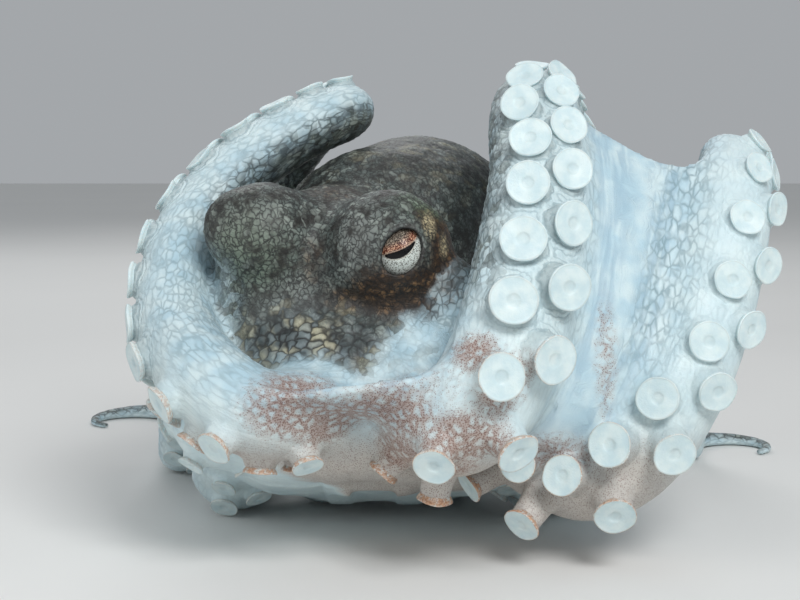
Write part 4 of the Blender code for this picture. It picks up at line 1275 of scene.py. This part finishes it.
def eye_mesh(name, eye, material):
    """Eyeball with a gently raised cornea; the mesh is finest round the look direction."""
    look, first, second = eye_axes(eye, PUPIL_TILT)
    rings, segments = EYE_RINGS, EYE_SEGMENTS
    polar = math.pi * (np.arange(1, rings) / rings) ** 1.35
    turn = np.arange(segments) * 2 * math.pi / segments
    polar, turn = np.meshgrid(polar, turn, indexing="ij")
    a = np.sin(polar) * np.cos(turn)
    b = np.sin(polar) * np.sin(turn)
    c = np.cos(polar)
    local = np.stack([a, b, c], -1).reshape(-1, 3)
    local = np.vstack([local, (0, 0, 1), (0, 0, -1)])
    flat = np.hypot(local[:, 0], local[:, 1])
    swell = 1 + CORNEA * np.exp(-(flat / 0.55) ** 4) * (local[:, 2] > 0)
    radius = eye["radius"] - BALL_GAP
    points = eye["centre"] + radius * swell[:, None] * (
        local[:, :1] * first + local[:, 1:2] * second + local[:, 2:] * look)
    index = np.arange((rings - 1) * segments).reshape(rings - 1, segments)
    after = np.roll(index, -1, axis=1)
    faces = grid_faces(index, after)[:, [0, 3, 2, 1]].tolist()
    top, bottom = index.size, index.size + 1
    faces += [[int(a), int(b), top] for a, b in zip(index[0], after[0])]
    faces += [[int(b), int(a), bottom] for a, b in zip(index[-1], after[-1])]
    return make_object(name, points, faces, {"gaze": local * radius}, material)


# ---------------------------------------------------------------- building

def largest_piece(points, quads):
    """Drop any loose crumbs that the meshing left beside the main surface."""
    label = np.arange(len(points))
    pairs = np.vstack([quads[:, [0, 1]], quads[:, [1, 2]], quads[:, [2, 3]]])
    while True:
        lower = np.minimum(label[pairs[:, 0]], label[pairs[:, 1]])
        before = label.copy()
        np.minimum.at(label, label[pairs[:, 0]], lower)
        np.minimum.at(label, label[pairs[:, 1]], lower)
        np.minimum.at(label, pairs[:, 0], lower)
        np.minimum.at(label, pairs[:, 1], lower)
        label = label[label]
        if np.array_equal(before, label):
            break
    names, counts = np.unique(label, return_counts=True)
    keep = label == names[np.argmax(counts)]
    number = np.cumsum(keep) - 1
    return points[keep], number[quads[keep[quads[:, 0]]]]


def build_skin(arms, suckers):
    low, high = [np.array(corner) / MM + FLOOR_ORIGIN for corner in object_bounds()]
    field = Field(low - 4, high + 4)
    for arm in arms.values():
        points, quads, ends = arm_sweep(arm)
        field.add_mesh(points, quads, ends, root_soft)
    crown_window = field.window(CROWN_CENTRE - CROWN_REACH, CROWN_CENTRE + CROWN_REACH)
    field.blend(crown_window, crown_distance(*field.axes(crown_window)), ROOT_SOFT)
    for (left, right), shape in WEBS.items():
        points, quads = web_sheet(arms[left], arms[right], *shape)
        field.add_mesh(points, quads, np.zeros((0, 3), int), WEB_SOFT)
    for key in arms:
        for one in suckers[key]:
            if one["radius"] > MOUND_LEAST:
                add_mound(field, one)
    body_window = field.window(*BODY_BOX)
    axes = field.axes(body_window)
    field.blend(body_window, np.minimum(body_distance(*axes), BAND), body_soft(*axes))
    for eye in EYES.values():
        open_lids(field, eye)
    points, quads = field.mesh()
    points, quads = largest_piece(points.astype(float), quads.astype(int))
    corner = points[quads]
    if np.sum(np.cross(corner[:, 0], corner[:, 1]) * corner[:, 2]) < 0:
        quads = quads[:, ::-1]
    points[:, 2] = np.maximum(points[:, 2], 0.0)
    values = skin_values(points, arms, suckers)
    skin = make_object("skin", points, quads.tolist(), values, skin_material())
    shape_skin(skin)
    return skin


def add_mound(field, one):
    """Raise the skin into the stalk under one sucker."""
    radius = one["radius"]
    start = one["foot"] - one["axis"] * 0.5 * radius
    end = one["top"] - one["axis"] * 0.16 * radius
    if np.dot(end - start, one["axis"]) < 0.1 * radius:
        return
    reach = radius + 3
    window = field.window(np.minimum(start, end) - reach, np.maximum(start, end) + reach)
    stalk = round_cone(*field.axes(window), start, end, 1.0 * radius, 0.84 * radius)
    field.blend(window, stalk, 0.45 * radius)


def build_suckers(arms, suckers):
    material = sucker_material()
    made = []
    for key in arms:
        for one in suckers[key]:
            near = math.exp(-(one["s"] / 60.0) ** 4) if key in FRONT_ARMS else 0.25
            one["blush"] = near * min(1.0, 1.2 - one["top"][2] / 90.0)
        points, faces, wall, blush, ring = sucker_mesh(suckers[key])
        points[:, 2] = np.maximum(points[:, 2], 0.0)
        made.append(make_object(f"suckers_{key}", points, faces,
                                {"rest": points, "wall": wall, "blush": blush, "ring": ring},
                                material))
    return made


def build_floor():
    """Plain pale floor."""
    span = FLOOR_HALF_SIDE
    mesh = bpy.data.meshes.new("floor")
    mesh.from_pydata([(-span, -span, 0), (span, -span, 0), (span, span, 0), (-span, span, 0)],
                     [], [(0, 1, 2, 3)])
    floor = linked("floor", mesh)
    made, nodes, shader = new_material("pale_floor")
    place = nodes.add("ShaderNodeTexCoord").outputs["Object"]
    soft = nodes.noise(place, 0.25, 2.0)
    nodes.dress(shader, nodes.mix(soft, tone(222, 222, 220), tone(230, 230, 228)),
                nodes.ramp(soft, 0.3, 0.7, 0.7, 0.85))
    mesh.materials.append(made)


def build_light():
    """Plain soft studio light."""
    world = bpy.data.worlds.new("studio")
    world.use_nodes = True
    background = world.node_tree.nodes["Background"]
    background.inputs["Color"].default_value = (0.88, 0.92, 0.96, 1)
    background.inputs["Strength"].default_value = WORLD_STRENGTH
    bpy.context.scene.world = world
    for name, (place, size, power) in LIGHTS.items():
        light = bpy.data.lights.new(name, "AREA")
        light.size = size
        light.energy = power
        lamp = linked(name, light)
        lamp.location = place
        aim(lamp, LIGHT_TARGET)


def build_camera():
    camera = bpy.data.cameras.new("camera")
    camera.lens = CAMERA_LENS
    camera.sensor_width = 36
    eye = linked("camera", camera)
    eye.location = CAMERA_PLACE
    aim(eye, CAMERA_TARGET)
    bpy.context.scene.camera = eye
    bpy.context.scene.view_settings.view_transform = "Standard"


def linked(name, data):
    """A new object in the scene."""
    made = bpy.data.objects.new(name, data)
    bpy.context.collection.objects.link(made)
    return made


def aim(thing, target):
    way = Vector(target) - thing.location
    thing.rotation_euler = way.to_track_quat("-Z", "Y").to_euler()


def main():
    for existing in list(bpy.data.objects):
        bpy.data.objects.remove(existing, do_unlink=True)
    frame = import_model()
    rng = np.random.default_rng(7)
    arms = {key: Arm(**values) for key, values in ARMS.items()}
    suckers = {key: place_suckers(arm, SUCKER_ROWS.get(key, PLAIN_ROWS), rng)
               for key, arm in arms.items()}
    skin = build_skin(arms, suckers)
    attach(skin, "root")
    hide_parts(*[name for name in frame["nodes"] if name not in EYES])
    for piece in build_suckers(arms, suckers):
        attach(piece, "root")
    glass = eye_material()
    for name, eye in EYES.items():
        piece = eye_mesh(name + "_ball", eye, glass)
        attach(piece, "root")
        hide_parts(name)
    build_floor()
    build_light()
    build_camera()
    bpy.context.view_layer.update()


main()
